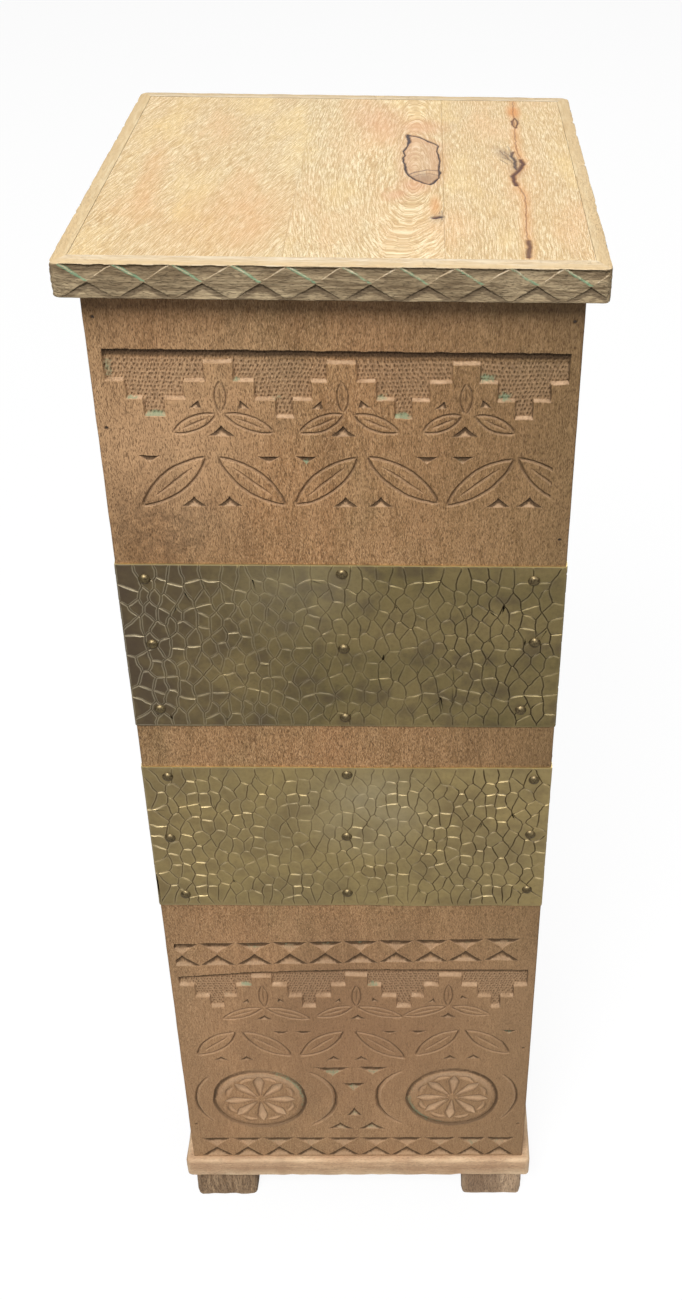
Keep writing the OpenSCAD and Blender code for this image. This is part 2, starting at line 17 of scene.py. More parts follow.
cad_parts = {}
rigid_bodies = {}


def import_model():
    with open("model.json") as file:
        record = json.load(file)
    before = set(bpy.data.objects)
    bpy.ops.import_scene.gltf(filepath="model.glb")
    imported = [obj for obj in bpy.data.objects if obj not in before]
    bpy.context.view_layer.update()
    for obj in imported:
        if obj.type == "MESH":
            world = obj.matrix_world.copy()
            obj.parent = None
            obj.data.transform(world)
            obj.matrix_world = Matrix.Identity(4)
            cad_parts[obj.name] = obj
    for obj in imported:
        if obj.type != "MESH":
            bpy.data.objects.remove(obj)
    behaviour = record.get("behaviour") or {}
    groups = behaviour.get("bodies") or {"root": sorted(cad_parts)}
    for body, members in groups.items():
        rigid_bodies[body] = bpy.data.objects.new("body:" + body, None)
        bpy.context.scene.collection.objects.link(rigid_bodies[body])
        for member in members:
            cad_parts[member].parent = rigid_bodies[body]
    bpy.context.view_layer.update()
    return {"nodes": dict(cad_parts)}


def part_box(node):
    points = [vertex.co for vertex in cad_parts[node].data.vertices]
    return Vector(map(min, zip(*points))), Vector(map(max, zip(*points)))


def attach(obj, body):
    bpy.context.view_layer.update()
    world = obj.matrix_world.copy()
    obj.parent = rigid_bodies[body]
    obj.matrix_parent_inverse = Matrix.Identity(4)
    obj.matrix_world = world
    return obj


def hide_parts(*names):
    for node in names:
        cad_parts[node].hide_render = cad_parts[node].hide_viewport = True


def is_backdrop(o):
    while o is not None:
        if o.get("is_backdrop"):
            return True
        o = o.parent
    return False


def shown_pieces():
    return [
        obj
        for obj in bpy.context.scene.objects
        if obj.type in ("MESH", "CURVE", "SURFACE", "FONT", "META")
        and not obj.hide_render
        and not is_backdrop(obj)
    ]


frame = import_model()

# %% [markdown]
# ## Working on the bench
#
# A carver works on a board that lies flat on the bench, and only then stands it up in the
# piece. The same is easy in Blender: each surface is made lying down, in millimetres, with
# its face upwards, and one matrix stands it up where the CAD has it.

# %% Sizes in millimetres, read from the frame
MM = 0.001


def millimetre_box(node):
    return [np.array(corner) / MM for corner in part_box(node)]


body_lo, body_hi = millimetre_box("front_panel")
HALF = body_hi[0]
BODY_Z = body_lo[2]
BODY_H = body_hi[2] - body_lo[2]
PANEL_T = body_hi[1] - body_lo[1]
top_lo, top_hi = millimetre_box("top_rail_front")
TOP_HALF = top_hi[0]
TOP_Z = top_lo[2]
TOP_T = top_hi[2] - top_lo[2]
FRONT, RIGHT, BACK, LEFT = range(4)
print("body", 2 * HALF, "x", BODY_H, "top", 2 * TOP_HALF, "x", TOP_T)


# %% Small helpers for selecting and for moving points
def deselect():
    if bpy.context.mode != "OBJECT":
        bpy.ops.object.mode_set(mode="OBJECT")
    bpy.ops.object.select_all(action="DESELECT")


def only(piece):
    deselect()
    piece.select_set(True)
    bpy.context.view_layer.objects.active = piece


def edit(kind=None, action=None):
    """Goes into edit mode, for edges or faces, and selects all or none."""
    bpy.ops.object.mode_set(mode="EDIT")
    if kind:
        bpy.ops.mesh.select_mode(type=kind)
    if action:
        bpy.ops.mesh.select_all(action=action)


def leave():
    bpy.ops.object.mode_set(mode="OBJECT")


def add_object(name, data):
    made = bpy.data.objects.new(name, data)
    bpy.context.scene.collection.objects.link(made)
    return made


def unit(values):
    return np.clip(values, 0, 1)


def points(piece):
    co = np.empty(len(piece.data.vertices) * 3, np.float32)
    piece.data.vertices.foreach_get("co", co)
    return co.reshape(-1, 3).astype(float)


def set_points(piece, co):
    piece.data.vertices.foreach_set("co", np.asarray(co, np.float32).ravel())
    piece.data.update()


def store(piece, name, values):
    layer = piece.data.attributes.new(name, "FLOAT", "POINT")
    layer.data.foreach_set("value", np.asarray(values, np.float32))


def face_centres(piece):
    co = np.empty(len(piece.data.polygons) * 3, np.float32)
    piece.data.polygons.foreach_get("center", co)
    return co.reshape(-1, 3)


def choose(piece, kind, elements, wanted):
    """Selects the edges or faces where wanted is true, and goes into edit mode."""
    only(piece)
    edit(kind, "DESELECT")
    leave()
    elements.foreach_set("select", wanted)
    edit()


# %% Stand a piece up where it belongs
def face_matrix(side, plane, z):
    """From the bench to one upright side: x to the right, y up, z out of the face."""
    return (
        Matrix.Rotation(math.radians(90 * side), 4, "Z")
        @ Matrix.Translation((0, -plane * MM, z * MM))
        @ Matrix.Rotation(math.radians(90), 4, "X")
        @ Matrix.Scale(MM, 4)
    )


def flat_matrix(z):
    """From the bench to a level face that looks up."""
    return Matrix.Translation((0, 0, z * MM)) @ Matrix.Scale(MM, 4)


def finish_piece(piece, node, smooth=60):
    only(piece)
    bpy.ops.object.shade_smooth_by_angle(angle=math.radians(smooth))
    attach(piece, "root")
    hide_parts(node)
    print(piece.name, len(piece.data.polygons), "faces")


# %% [markdown]
# ## Randomness of the hand
#
# Nothing on this table is even. One smooth noise function, made from a seeded table of
# random heights, gives the wobble of the knife, the dents and the waves of the boards.

# %% A smooth noise in the plane
noise_tables = {}


def noise(x, y, size, seed):
    """Hills and hollows between -1 and 1, about one every size millimetres."""
    if seed not in noise_tables:
        noise_tables[seed] = np.random.default_rng(seed).uniform(-1, 1, (128, 128))
    table = noise_tables[seed]
    gx, gy = np.asarray(x) / size, np.asarray(y) / size
    ix, iy = np.floor(gx).astype(int), np.floor(gy).astype(int)
    fx, fy = gx - ix, gy - iy
    fx, fy = fx * fx * (3 - 2 * fx), fy * fy * (3 - 2 * fy)
    ix, iy, jx, jy = ix % 128, iy % 128, (ix + 1) % 128, (iy + 1) % 128
    low = table[ix, iy] * (1 - fx) + table[jx, iy] * fx
    high = table[ix, jy] * (1 - fx) + table[jx, jy] * fx
    return low * (1 - fy) + high * fy


def wave(x, size, seed):
    """The same along a line."""
    return noise(x, 0 * x, size, seed)


# %% [markdown]
# ## The carver's cuts
#
# The front is a field with three rows: how deep it is cut, how dark it is painted, for dirt
# and wax in the cut and for painted shadow, and how pale it is painted, for wood rubbed bare
# and for painted light on faces that look up. Each cut is a function that adds to this field.
# A V-shaped groove is deepest on its line and painted darkest there. A chip is a
# hollow-sided triangle whose floor rises downwards, so that it catches the light from above;
# the shadow under its upper wall is painted dark, and the foot of its floor painted pale.
# The places below are laid out from the photograph, in millimetres from the middle of the
# foot of the front panel.

# %% Grooves and leaves
def no_cuts(x):
    return np.zeros((3, len(x)))


def deepen(cuts, near, depth, dirt, bare_and_lit=0.0):
    for row, found in zip(cuts, (depth, dirt, bare_and_lit)):
        row[near] = np.maximum(row[near], found)


def vee(off, width):
    return unit(1 - np.abs(off) / (width / 2))


def leaf(x, z, cuts, a, b, width, groove, deep):
    """Two curved grooves between the tips a and b, and a vein."""
    length = math.dist(a, b)
    cx, cz = (a[0] + b[0]) / 2, (a[1] + b[1]) / 2
    ux, uz = (b[0] - a[0]) / length, (b[1] - a[1]) / length
    near = np.hypot(x - cx, z - cz) < 0.56 * length
    u = (x[near] - cx) * ux + (z[near] - cz) * uz
    v = (z[near] - cz) * ux - (x[near] - cx) * uz
    r = ((length / 2) ** 2 + (width / 2) ** 2) / width
    ends = unit((0.515 * length - np.abs(u)) / 2.5)
    found = np.zeros(len(u))
    for s in (-1, 1):
        off = np.hypot(u, v + s * (r - width / 2)) - r
        found = np.maximum(found, ends * vee(off, groove))
    taper = np.sqrt(unit(1 - (u / (0.3 * length)) ** 2))
    found = np.maximum(found, 0.8 * taper * vee(v, 0.2 + 0.9 * groove * taper))
    # the groove is painted dark along its line, for dirt in it and for painted shade
    deepen(cuts, near, deep * found, 0.9 * found ** 1.4)


def chip(x, z, cuts, cx, base, apex, width, deep=3.4, hollow=1.45, lean=0.0, painted_shadow=1.0):
    """A triangle with its base and its apex at those heights."""
    low, high = min(base, apex), max(base, apex)
    deep = min(deep, (0.2 if high < 300 else 0.36) * (high - low))
    near = (np.abs(x - cx) < 0.6 * width) & (z > low - 0.5) & (z < high + 0.5)
    t = unit((z[near] - base) / (apex - base))
    half = width / 2 * (1 - t) ** hollow
    side = half - np.abs(x[near] - cx - lean * t)
    up = unit((z[near] - low) / (high - low))
    found = np.minimum(deep * (0.06 + 0.94 * up), 2.6 * side)
    found = np.minimum(found, 3.5 * (high - z[near]))
    found = np.minimum(found, 1.5 * (z[near] - low + 0.1))
    open_cut = unit(found / 0.3)
    # painted shadow under the upper wall, reaching further down the deeper the cut is, and
    # painted shade in the middle of upright chips; the foot of the floor is painted pale, for
    # painted light on the floor that looks up and for wear
    upright = apex > base
    share = unit(np.abs(x[near] - cx - lean * t) / (width / 2)) ** (1 / hollow)
    wall = apex - share * (apex - base) if upright else high
    hidden = wall - z[near] - 1.3 * found
    reach = 0.16 * (high - low)
    least = 0.35 * unit(3 * up - 1) * upright
    dark = painted_shadow * open_cut * np.clip(1.7 + (reach - hidden) / 1.3, least, 1)
    rubbed_and_lit = unit((0.45 - up) / 0.25) * 0.7 if upright else 0.5 * unit(hidden - 2.2)
    deepen(cuts, near, found, 0.95 * dark, open_cut * rubbed_and_lit * (1 - dark))


def arc(x, z, cuts, centre, r, middle, reach, width, deep):
    """A groove along an arc that fades out at both ends; angles in degrees."""
    dx, dz = x - centre[0], z - centre[1]
    off = np.hypot(dx, dz) - r
    near = np.abs(off) < width
    turn = (np.degrees(np.arctan2(dz[near], dx[near])) - middle + 180) % 360 - 180
    swell = np.sqrt(unit(1 - (turn / reach) ** 2))
    found = swell * vee(off[near], width * (0.4 + 0.6 * swell))
    # painted light on the inner flank, and painted shade with dirt on the outer half of the groove
    lit = 0.5 * swell * unit(1 - np.abs(off[near] + 0.45 * width) / 1.1)
    deepen(cuts, near, deep * found, 0.95 * found * (off[near] > -0.6), lit)


# %% [markdown]
# The stepped ground is sunk with steep walls, but the foot of every step is a sloping ledge
# that faces upwards. Its floor is roughened with rows of short punch marks. The shadow under
# its upper edge and beside its walls is painted dark, and the ledges are painted pale as
# painted light.

# %% The sunk, punched ground of a frieze
PUNCH_ROW, PUNCH_STEP = 3.0, 2.2
WALL_SLOPE = 3


def stepped_ground(x, z, cuts, steps, end, top_edge, deep, ledge, pale, painted_shadow):
    edges = np.array([s[0] for s in steps] + [end])
    levels = np.array([s[1] for s in steps])
    xs = x + 0.25 * noise(x, z, 5, 41)
    k = np.clip(np.searchsorted(edges, xs) - 1, 0, len(levels) - 1)
    top = np.interp(x, *top_edge)
    ramp = (z - levels[k]) / ledge
    floor = np.minimum(deep, deep * (0.12 + 0.88 * ramp))
    floor = np.minimum(floor, WALL_SLOPE * (z - levels[k]))
    shade_side = unit(1.7 - (end - xs) / 0.8)
    for gap in (top - z, xs - edges[0], end - xs):
        floor = np.minimum(floor, WALL_SLOPE * gap)
    for e, (before, after) in zip(edges[1:-1], zip(levels[:-1], levels[1:])):
        low, high = min(before, after), max(before, after)
        wall = (z > low) & (z < high)
        floor = np.where(wall, np.minimum(floor, WALL_SLOPE * np.abs(xs - e)), floor)
        side = unit(1.7 - (e - xs) / 0.8)
        shade_side = np.where(wall & (xs < e), side, shade_side)
    inside = floor > 0
    rows = (z + 1.3 * noise(x, z, 26, 42)) / PUNCH_ROW
    row = np.floor(rows)
    across = x / PUNCH_STEP + 0.5 * (row % 2) + 0.35 * noise(x, z, 6, 43)
    column = np.floor(across)
    toss = np.sin(row * 91.7 + column * 47.3)
    du = (across - column - 0.5 - 0.14 * toss) * PUNCH_STEP
    dv = (rows - row - 0.5 + 0.1 * np.sin(row * 17.3 + column * 71.9)) * PUNCH_ROW
    lean = du - 0.22 * dv * np.clip(3 * noise(x, z, 45, 44), -1, 1)
    mark = np.exp(-((lean / 0.44) ** 2) - (np.abs(dv) / 1.05) ** 3) * (0.8 + 0.25 * toss)
    low_floor = floor > 0.6 * deep
    mark = np.where(low_floor, mark, 0)
    # painted shadow under the upper edge and beside the step walls, with dirt in the punch marks;
    # the ledges, which look up, are painted pale as painted light, and the ridges between the marks
    # are paler
    shadow_under_edge = unit((painted_shadow - (top - z)) / (0.45 * painted_shadow)) ** 1.3
    dirt = np.maximum(0.12 + 0.75 * mark, 0.95 * np.maximum(shadow_under_edge, 0.8 * shade_side))
    bare_and_lit = unit(1.5 - 1.5 * np.abs(ramp - 0.5) / 0.85) * (ramp > 0)
    bare_and_lit = bare_and_lit * pale * (0.9 + 0.6 * noise(x, z, 7, 45)) * (1 - shadow_under_edge)
    ridge = np.where(low_floor, 0.3 * unit(1 - 3 * mark), 0) * (shadow_under_edge < 0.1)
    found = (floor + 0.9 * mark, dirt, np.maximum(bare_and_lit, ridge))
    deepen(cuts, inside, *(field[inside] for field in found))


# %% [markdown]
# A rosette is a ring round eight petals. The ring slopes gently from the inside and has a
# steep outer wall. Each petal is a shallow bowl shaped like a drop, cut down to bare wood,
# and small crescents fill the corners between the tips. The line of the ring is painted
# dark, as painted shade and dirt, and the slope inside it at the top is painted pale, as
# painted light.

# %% Rosettes
PETALS = 8
PETAL_START, PETAL_LENGTH, PETAL_WIDEST = 3.4, 27.6, 0.68


def turned(x, z, angle):
    """Along and across a direction."""
    along = x * math.cos(angle) + z * math.sin(angle)
    return along, z * math.cos(angle) - x * math.sin(angle)


def rosette(x, z, cuts, cx, cz, r, seed, spread):
    dx, dz = x - cx, z - cz
    near = np.hypot(dx, dz) < r + 4
    px, pz = dx[near], dz[near]
    rr, angle = np.hypot(px, pz), np.arctan2(pz, px)
    ring = rr - r - 0.5 * wave(angle * 20, 16, seed)
    profile = unit(np.where(ring < 0, 1 + ring / 4.8, 1 - ring / 1.3))
    above = np.clip(pz / (rr + 0.1), -1, 1)
    # painted shade and dirt on the ring's line, which sits further in at the top than at the bottom,
    # and painted light on a pale band inside it at the top
    core = ring + np.where(above > 0, 2.1, 0.5) * above
    lit = 0.75 * unit(0.15 + 0.9 * above) * unit(1.2 - np.abs(core + 4.6) / 3.2)
    painted_shadow = 0.8 + 0.2 * wave(angle * 20, 23, seed + 3)
    painted_shadow = painted_shadow * unit(1.9 - np.abs(core + 0.2) / 0.85)
    deepen(cuts, near, 1.9 * profile, painted_shadow, lit)
    rnd = np.random.default_rng(seed)
    for k in range(PETALS):
        a = math.radians(360 / PETALS * k + spread + rnd.uniform(-3, 3))
        u, v = turned(px, pz, a)
        t = (u - PETAL_START) / (PETAL_LENGTH + rnd.uniform(-1, 0.8))
        inside = (t > 0) & (t < 1)
        t = unit(t)
        tip = unit((t - PETAL_WIDEST) / (1 - PETAL_WIDEST))
        half = 4.4 * unit(t / PETAL_WIDEST) ** 0.85 * (1 - tip ** 1.7) + 0.01
        bowl = inside * unit(1 - (v / half) ** 2)
        wall = unit(1.5 - np.abs(np.abs(v) - half) / 0.75) * (t > 0.04) * (t < 0.99)
        hollow = 2.1 * bowl ** 0.6 * unit(3 * (1 - t))
        deepen(cuts, near, hollow, 0.5 * wall * (1 - bowl), 0.75 * unit(1.5 * bowl))
        u, v = turned(px, pz, a + math.radians(180 / PETALS))
        t = unit(1 - (v / 7.2) ** 2)
        moon = unit(1 - np.abs(u - 29.2 + v * v / 22) / (0.2 + 2.0 * t)) * t ** 0.6
        rim = unit(1.3 - np.abs(u - 31.6 + v * v / 22) / 0.9) * t
        deepen(cuts, near, 1.5 * moon, 0.55 * rim, 0.45 * unit(2 * moon))


# %% Rows of diamonds
def gaps_round(crossings, pitch):
    """(x, half the way from the neighbour before to the one after) of each crossing."""
    row = [crossings[0] - pitch, *crossings, crossings[-1] + pitch]
    return [(x, (after - before) / 2) for before, x, after in zip(row, row[1:], row[2:])]


def diamonds(x, z, cuts, crossings, low_left, high_left, rise, left, right):
    """Chips above and below each crossing cut a row of diamonds free."""
    found = no_cuts(x)
    for cx, room in gaps_round(crossings, 28.5):
        share = (cx - left) / (right - left)
        low, high = low_left + rise * share, high_left + rise * share
        middle = (low + high) / 2
        chip(x, z, found, cx, high, middle + 0.3, room - 0.2, 3.0, 1.3)
        chip(x, z, found, cx, low, middle - 0.3, room - 0.2, 3.2, 1.1)
    found[:, (x < left) | (x > right)] = 0
    np.maximum(cuts, found, out=cuts)


# %% [markdown]
# Now the whole front is laid out. The numbers are the carver's own slips too: the rows
# rise a little to the right, and the last leaf of the upper row is cut short.

# %% The layout of the carved front
UP_STEPS = [
    (-141.5, 797.7), (-129.8, 785), (-119.5, 772.6), (-106.5, 785), (-93.5, 797.7),
    (-80.7, 810.4), (-63.1, 797.7), (-50.6, 785), (-37.8, 772.6), (-27.1, 785),
    (-15.4, 797.7), (-5.7, 810.4), (12.3, 797.7), (24.4, 785), (35.6, 772.6),
    (46.6, 785), (57.6, 797.7), (71.5, 810.4), (88, 797.7), (99.7, 785),
    (110.4, 772.6), (121.7, 785), (132.4, 797.7),
]
LOW_STEPS = [
    (-143.2, 235.3), (-131, 221.6), (-119.3, 208.3), (-107.5, 221.6), (-96.5, 235.3),
    (-83.5, 245.9), (-67.2, 235.3), (-54.8, 221.6), (-43, 208.3), (-31.7, 221.6),
    (-18.9, 235.3), (-6.5, 247.7), (11.4, 235.3), (23.2, 221.6), (35.6, 208.3),
    (47.9, 221.6), (58.2, 235.3), (70.5, 247.7), (89, 235.3), (102.5, 221.6),
    (114, 208.3), (122, 221.6), (132.7, 235.3),
]
LARGE_LEAVES = [
    ((-126.5, 706.6), (-84, 743.3)), ((-34.8, 708), (-75.9, 743.3)),
    ((-28.2, 708), (12.1, 743.8)), ((63.8, 710.3), (18.7, 744.4)),
    ((69.3, 708.6), (111, 743.8)), ((155, 709), (114.4, 744.4)),
    ((-135.8, 145.8), (-100.9, 175.5)), ((-54.8, 144.6), (-95.3, 175.5)),
    ((-46.9, 144.6), (-9.8, 176.8)), ((42, 141.3), (0.4, 176.1)),
    ((52.1, 145.8), (88.1, 178.4)), ((132, 148), (93.8, 178.4)),
]
LYING_LEAVES = [
    ((-102.7, 761), (-75.2, 775)), ((-39.6, 762), (-70.4, 775)),
    ((-24.2, 761.6), (4.4, 775)), ((38.5, 762.5), (9.9, 774.6)),
    ((53.2, 763), (78, 775)), ((111, 762.5), (85.8, 775)),
    ((-110.1, 193.7), (-77, 207.2)), ((-37.1, 193.7), (-73.6, 207.2)),
    ((-31.4, 196.4), (-0.6, 209)), ((40.5, 195.9), (2.9, 209)),
    ((41.6, 197.7), (77, 209.4)), ((113.5, 199.3), (81.6, 209)),
]
UPRIGHT_LEAVES = [
    ((-72.5, 776), (-71.5, 798)), ((4, 776), (3, 798)), ((80, 776), (80.5, 798)),
    ((-74.5, 208.5), (-75.5, 236)), ((2, 209), (2.5, 236)), ((78.5, 209.5), (79, 237)),
]
# x, height of the base, height of the apex, width
CHIPS = [
    (-119.2, 744.6, 738.8, 14), (-44, 744.4, 738.6, 14.5), (-20.5, 744.6, 738.4, 14),
    (56.1, 745, 739.2, 14.5), (78.8, 745.4, 739.4, 14.5),
    (-93.5, 706.6, 714.4, 16), (-70.8, 706.8, 714.6, 16), (4, 707, 715, 16),
    (26.8, 707, 715, 16), (102.3, 707.4, 715.4, 16), (122.8, 707.6, 715.8, 17),
    (-72.6, 759.2, 767.4, 17), (3.4, 759.8, 767.8, 16.5), (79.8, 760, 768, 17),
    (-75.4, 192.4, 198.6, 15), (2.9, 193.4, 199.6, 15.5), (78.8, 195.4, 201.8, 15),
    (-62.6, 177, 172.4, 15), (-43.5, 177.2, 172.4, 15), (29.6, 178, 173.4, 16),
    (53.3, 178.2, 173.4, 16), (130.9, 179, 174, 15),
    (-115.5, 138.4, 143.8, 13), (-93.5, 138.6, 144, 13), (-18.8, 138.8, 144.6, 13.5),
    (4.9, 138.8, 144.8, 14), (81.4, 140.2, 146, 14.5), (101.6, 140.6, 146.4, 14.5),
    (-20.5, 128.6, 115.4, 30), (14.2, 129.4, 118.4, 28), (-2.4, 106.8, 95, 20),
    (-2.3, 60.4, 73, 13.5), (-15.2, 40.8, 50.4, 24), (13, 40.6, 51, 25),
]
SMALL_CHIPS = [
    (-88, 779, 784.6, 8, 2.5), (-57.5, 779, 785, 8, -2.5), (-12.5, 779, 785, 8, 2.5),
    (17, 780, 785.6, 8, -2.5), (64.5, 780, 785.6, 8, 2.5), (92.5, 781, 786.6, 8, -2.5),
    (-90, 214, 219.6, 7, 2), (-60.5, 215, 220.4, 6.5, -2), (-13.5, 215, 220.4, 6.5, 2),
    (17.5, 215.6, 221, 6.5, -2), (64.5, 215, 220.4, 6.5, 2), (92, 219, 224, 8, -2),
]
UP_CROSSINGS = [-138, -109.4, -79.5, -50.7, -22.1, 6.5, 35.3, 63.4, 91.5, 121.2]
LOW_CROSSINGS = [-127.9, -99.8, -71.6, -42.4, -13.1, 16.1, 44.3, 74, 102.8, 128.6]
# x, height, half width, half height and strength of what is left of the green paint
PAINT_SPOTS = [
    (-139, 806, 4, 12, 0.5), (-126, 784, 6, 4, 0.75), (-112.5, 773, 9, 5, 1),
    (-62, 798, 4, 3.5, 0.7), (-37, 786, 5, 4, 0.4), (40, 773, 8, 4.5, 0.95),
    (28, 787, 7, 3.5, 0.5), (92, 801, 9, 4, 0.8), (104, 788, 6, 4, 0.8),
    (-20.6, 740, 8, 4, 0.9), (-119, 741, 6, 3, 0.3), (78, 742, 7, 3, 0.35),
    (-88.5, 236, 8, 5, 0.75), (16.5, 237, 7, 5, 0.6), (-104, 224, 8, 3, 0.2),
    (-80, 286, 13, 6, 0.75), (-51, 286, 12, 6, 0.6), (-22, 288, 12, 6, 0.7),
    (6, 290, 9, 7, 0.9), (35, 289, 10, 6, 0.3), (63, 290, 10, 6, 0.25),
    (92, 290, 9, 6, 0.3), (121, 291, 10, 6, 0.4), (-109, 285, 10, 6, 0.3),
    (-20, 121, 15, 9, 0.6), (14, 121, 13, 8, 0.5), (-2.4, 99, 10, 9, 0.5),
    (-2, 63, 8, 6, 0.45), (-15, 43, 14, 5, 0.4), (13, 44, 14, 5, 0.5),
    (131, 177, 9, 4, 0.6), (-43, 176, 9, 4, 0.25), (143, 104, 5, 14, 0.8),
    (74, 14, 30, 12, 0.22), (115, 20, 26, 8, 0.4), (-60, 20, 60, 8, 0.18),
]
# x, height, radius, seed and turn of each rosette, and where its ring still has paint
ROSETTES = [(-85.1, 83.9, 40.3, 11, 2, 35), (84.3, 86.8, 39.8, 12, -2, 215)]
# middle, radius, direction, reach, width and depth of the arcs beside them
ARCS = [
    ((-61, 84), 42.5, 0, 62, 4.8, 2.6), ((60.4, 86), 42.5, 180, 62, 4.8, 2.6),
    ((-96, 84), 45, 180, 46, 3.4, 1.7), ((96, 87), 45, 0, 46, 3.4, 1.7),
]
# the upper edges of the two stepped grounds: x, and the heights there
UP_EDGE = ((-143, 143), (819.4, 818.8))
LOW_EDGE = ((-143, -80, 0, 143), (246.6, 253, 256.2, 256))


# %% The carving at any point of the front
def carved(x, z):
    """Depth, dirt with painted shade, and bareness with painted light of the front at (x, z)."""
    wx = x + 0.32 * noise(x, z, 9, 1) + 0.12 * noise(x, z, 3, 2)
    wz = z + 0.32 * noise(x, z, 9, 3) + 0.12 * noise(x, z, 3, 4)
    cuts = no_cuts(x)
    if z.max() > 750:
        stepped_ground(wx, wz, cuts, UP_STEPS, 143, UP_EDGE, 2.3, 1.3, 1.0, 7.6)
    if z.min() < 260:
        stepped_ground(wx, wz, cuts, LOW_STEPS, 143.7, LOW_EDGE, 2.0, 3.0, 0.7, 5.4)
    strokes = (
        [(tips, 16.4, 2.7, 1.5) for tips in LARGE_LEAVES]
        + [(tips, 9.8, 2.2, 1.3) for tips in LYING_LEAVES]
        + [(tips, 7.2, 1.6, 0.9) for tips in UPRIGHT_LEAVES]
    )
    for (a, b), width, groove, deep in strokes:
        if z.min() - 30 < a[1] < z.max() + 30:
            leaf(wx, wz, cuts, a, b, width, groove, deep)
    # the last leaf of the upper row stops at the edge of the board
    cuts[:, (wx > 136) & (z > 700) & (z < 752)] = 0
    for cx, base, apex, width in CHIPS:
        chip(wx, wz, cuts, cx, base, apex, width)
    for cx, base, apex, width, lean in SMALL_CHIPS:
        chip(wx, wz, cuts, cx, base, apex, width, 2.2, 1.2, lean)
    diamonds(wx, wz, cuts, UP_CROSSINGS, 260.3, 286.6, 7.6, -143.6, 135.4)
    diamonds(wx, wz, cuts, LOW_CROSSINGS, 1.2, 27.4, 0.4, -142, 143)
    if z.min() < 140:
        for *place, _ in ROSETTES:
            rosette(wx, wz, cuts, *place)
        for place in ARCS:
            arc(wx, wz, cuts, *place)
    return cuts


# %% Pin holes where the CAD has the pins
PIN_HOLES = [(-144, 840), (-144, 764), (-144, 48), (144, 840), (144, 682), (144, 155), (144, 48)]


def rounded_edge(x, low, high, r):
    t = unit(1 - np.minimum(x - low, high - x) / r)
    return r * (1 - np.sqrt(1 - t * t))


def front_shape(x, z):
    depth, dirt, bare_and_lit = carved(x, z)
    above, below = carved(x, z + 0.3)[0], carved(x, z - 0.3)[0]
    for px, pz in PIN_HOLES:
        hole = unit(1.7 - np.hypot(x - px, z - pz) / 0.9)
        depth, dirt = np.maximum(depth, 1.5 * hole), np.maximum(dirt, hole)
    paint = np.zeros(len(x))
    for px, pz, rx, rz, strength in PAINT_SPOTS:
        spot = strength * unit(1.5 - 1.5 * np.hypot((x - px) / rx, (z - pz) / rz))
        paint = np.maximum(paint, spot)
    for cx, cz, *_, toward in ROSETTES:
        off = np.hypot(x - cx, z - cz) - 39.4
        turn = (np.degrees(np.arctan2(z - cz, x - cx)) - toward + 180) % 360 - 180
        ring = np.clip(1.0 - np.abs(turn) / 75, 0.05, 0.8)
        paint = np.maximum(paint, 0.75 * ring * unit(2 - np.abs(off + 1) / 2))
    rounding = rounded_edge(x, -HALF, HALF, 1.3 + 0.6 * wave(z, 14, 5))
    planed = 0.12 + 0.12 * noise(x, z, 60, 6)
    # painted light: faces that look up are painted pale; cut carries dirt and painted shade, ledge
    # carries wear and painted light
    lit_slope = np.minimum(0.75 * (above - below), 0.35)
    return {
        "depth": depth + rounding + planed,
        "cut": dirt,
        "ledge": unit(np.maximum(lit_slope * (1 - dirt), bare_and_lit)),
        "paint": paint * unit(depth / 0.5) * (1 - 0.7 * dirt),
        "edge": unit(rounding),
    }


# %% [markdown]
# ## A board on the bench
#
# A grid with small faces all over would be far too heavy. So the grid starts coarse, and
# only the faces where the carving bends are subdivided, two or three times. A map of how
# strongly the surface bends says which. Then the border is extruded down and closed, and the
# points of the face are pushed in.

# %% Where a surface needs small faces
def bend_map(shape, box, step, watch):
    """How strongly the watched fields bend at each point of a raster."""
    u = np.arange(box[0] - step, box[1] + 2 * step, step)
    v = np.arange(box[2] - step, box[3] + 2 * step, step)
    gu, gv = np.meshgrid(u, v, indexing="ij")
    inside_u = np.clip(gu.ravel(), box[0], box[1])
    inside_v = np.clip(gv.ravel(), box[2], box[3])
    fields = shape(inside_u, inside_v)
    bends = np.zeros(gu.shape)
    for name, weight in watch.items():
        f = weight * fields[name].reshape(gu.shape)
        bends[1:-1] = np.maximum(bends[1:-1], np.abs(f[2:] + f[:-2] - 2 * f[1:-1]))
        across = np.abs(f[:, 2:] + f[:, :-2] - 2 * f[:, 1:-1])
        bends[:, 1:-1] = np.maximum(bends[:, 1:-1], across)
    return bends


def is_bent(bends, tolerance, box, step, u, v, reach):
    """Whether anything bends within reach of (u, v), from a summed map."""
    total = np.zeros((bends.shape[0] + 1, bends.shape[1] + 1))
    total[1:, 1:] = (bends > tolerance).cumsum(0).cumsum(1)

    def index(value, start, count):
        return np.clip(((value - start) / step + 1).astype(int), 0, count - 1)

    i0, i1 = (index(u + s * reach, box[0], total.shape[0]) for s in (-1, 1))
    j0, j1 = (index(v + s * reach, box[2], total.shape[1]) for s in (-1, 1))
    i1, j1 = np.minimum(i1 + 1, total.shape[0] - 1), np.minimum(j1 + 1, total.shape[1] - 1)
    return total[i1, j1] - total[i0, j1] - total[i1, j0] + total[i0, j0] > 0


# %% Make a board with a shaped face
RASTER = 0.5


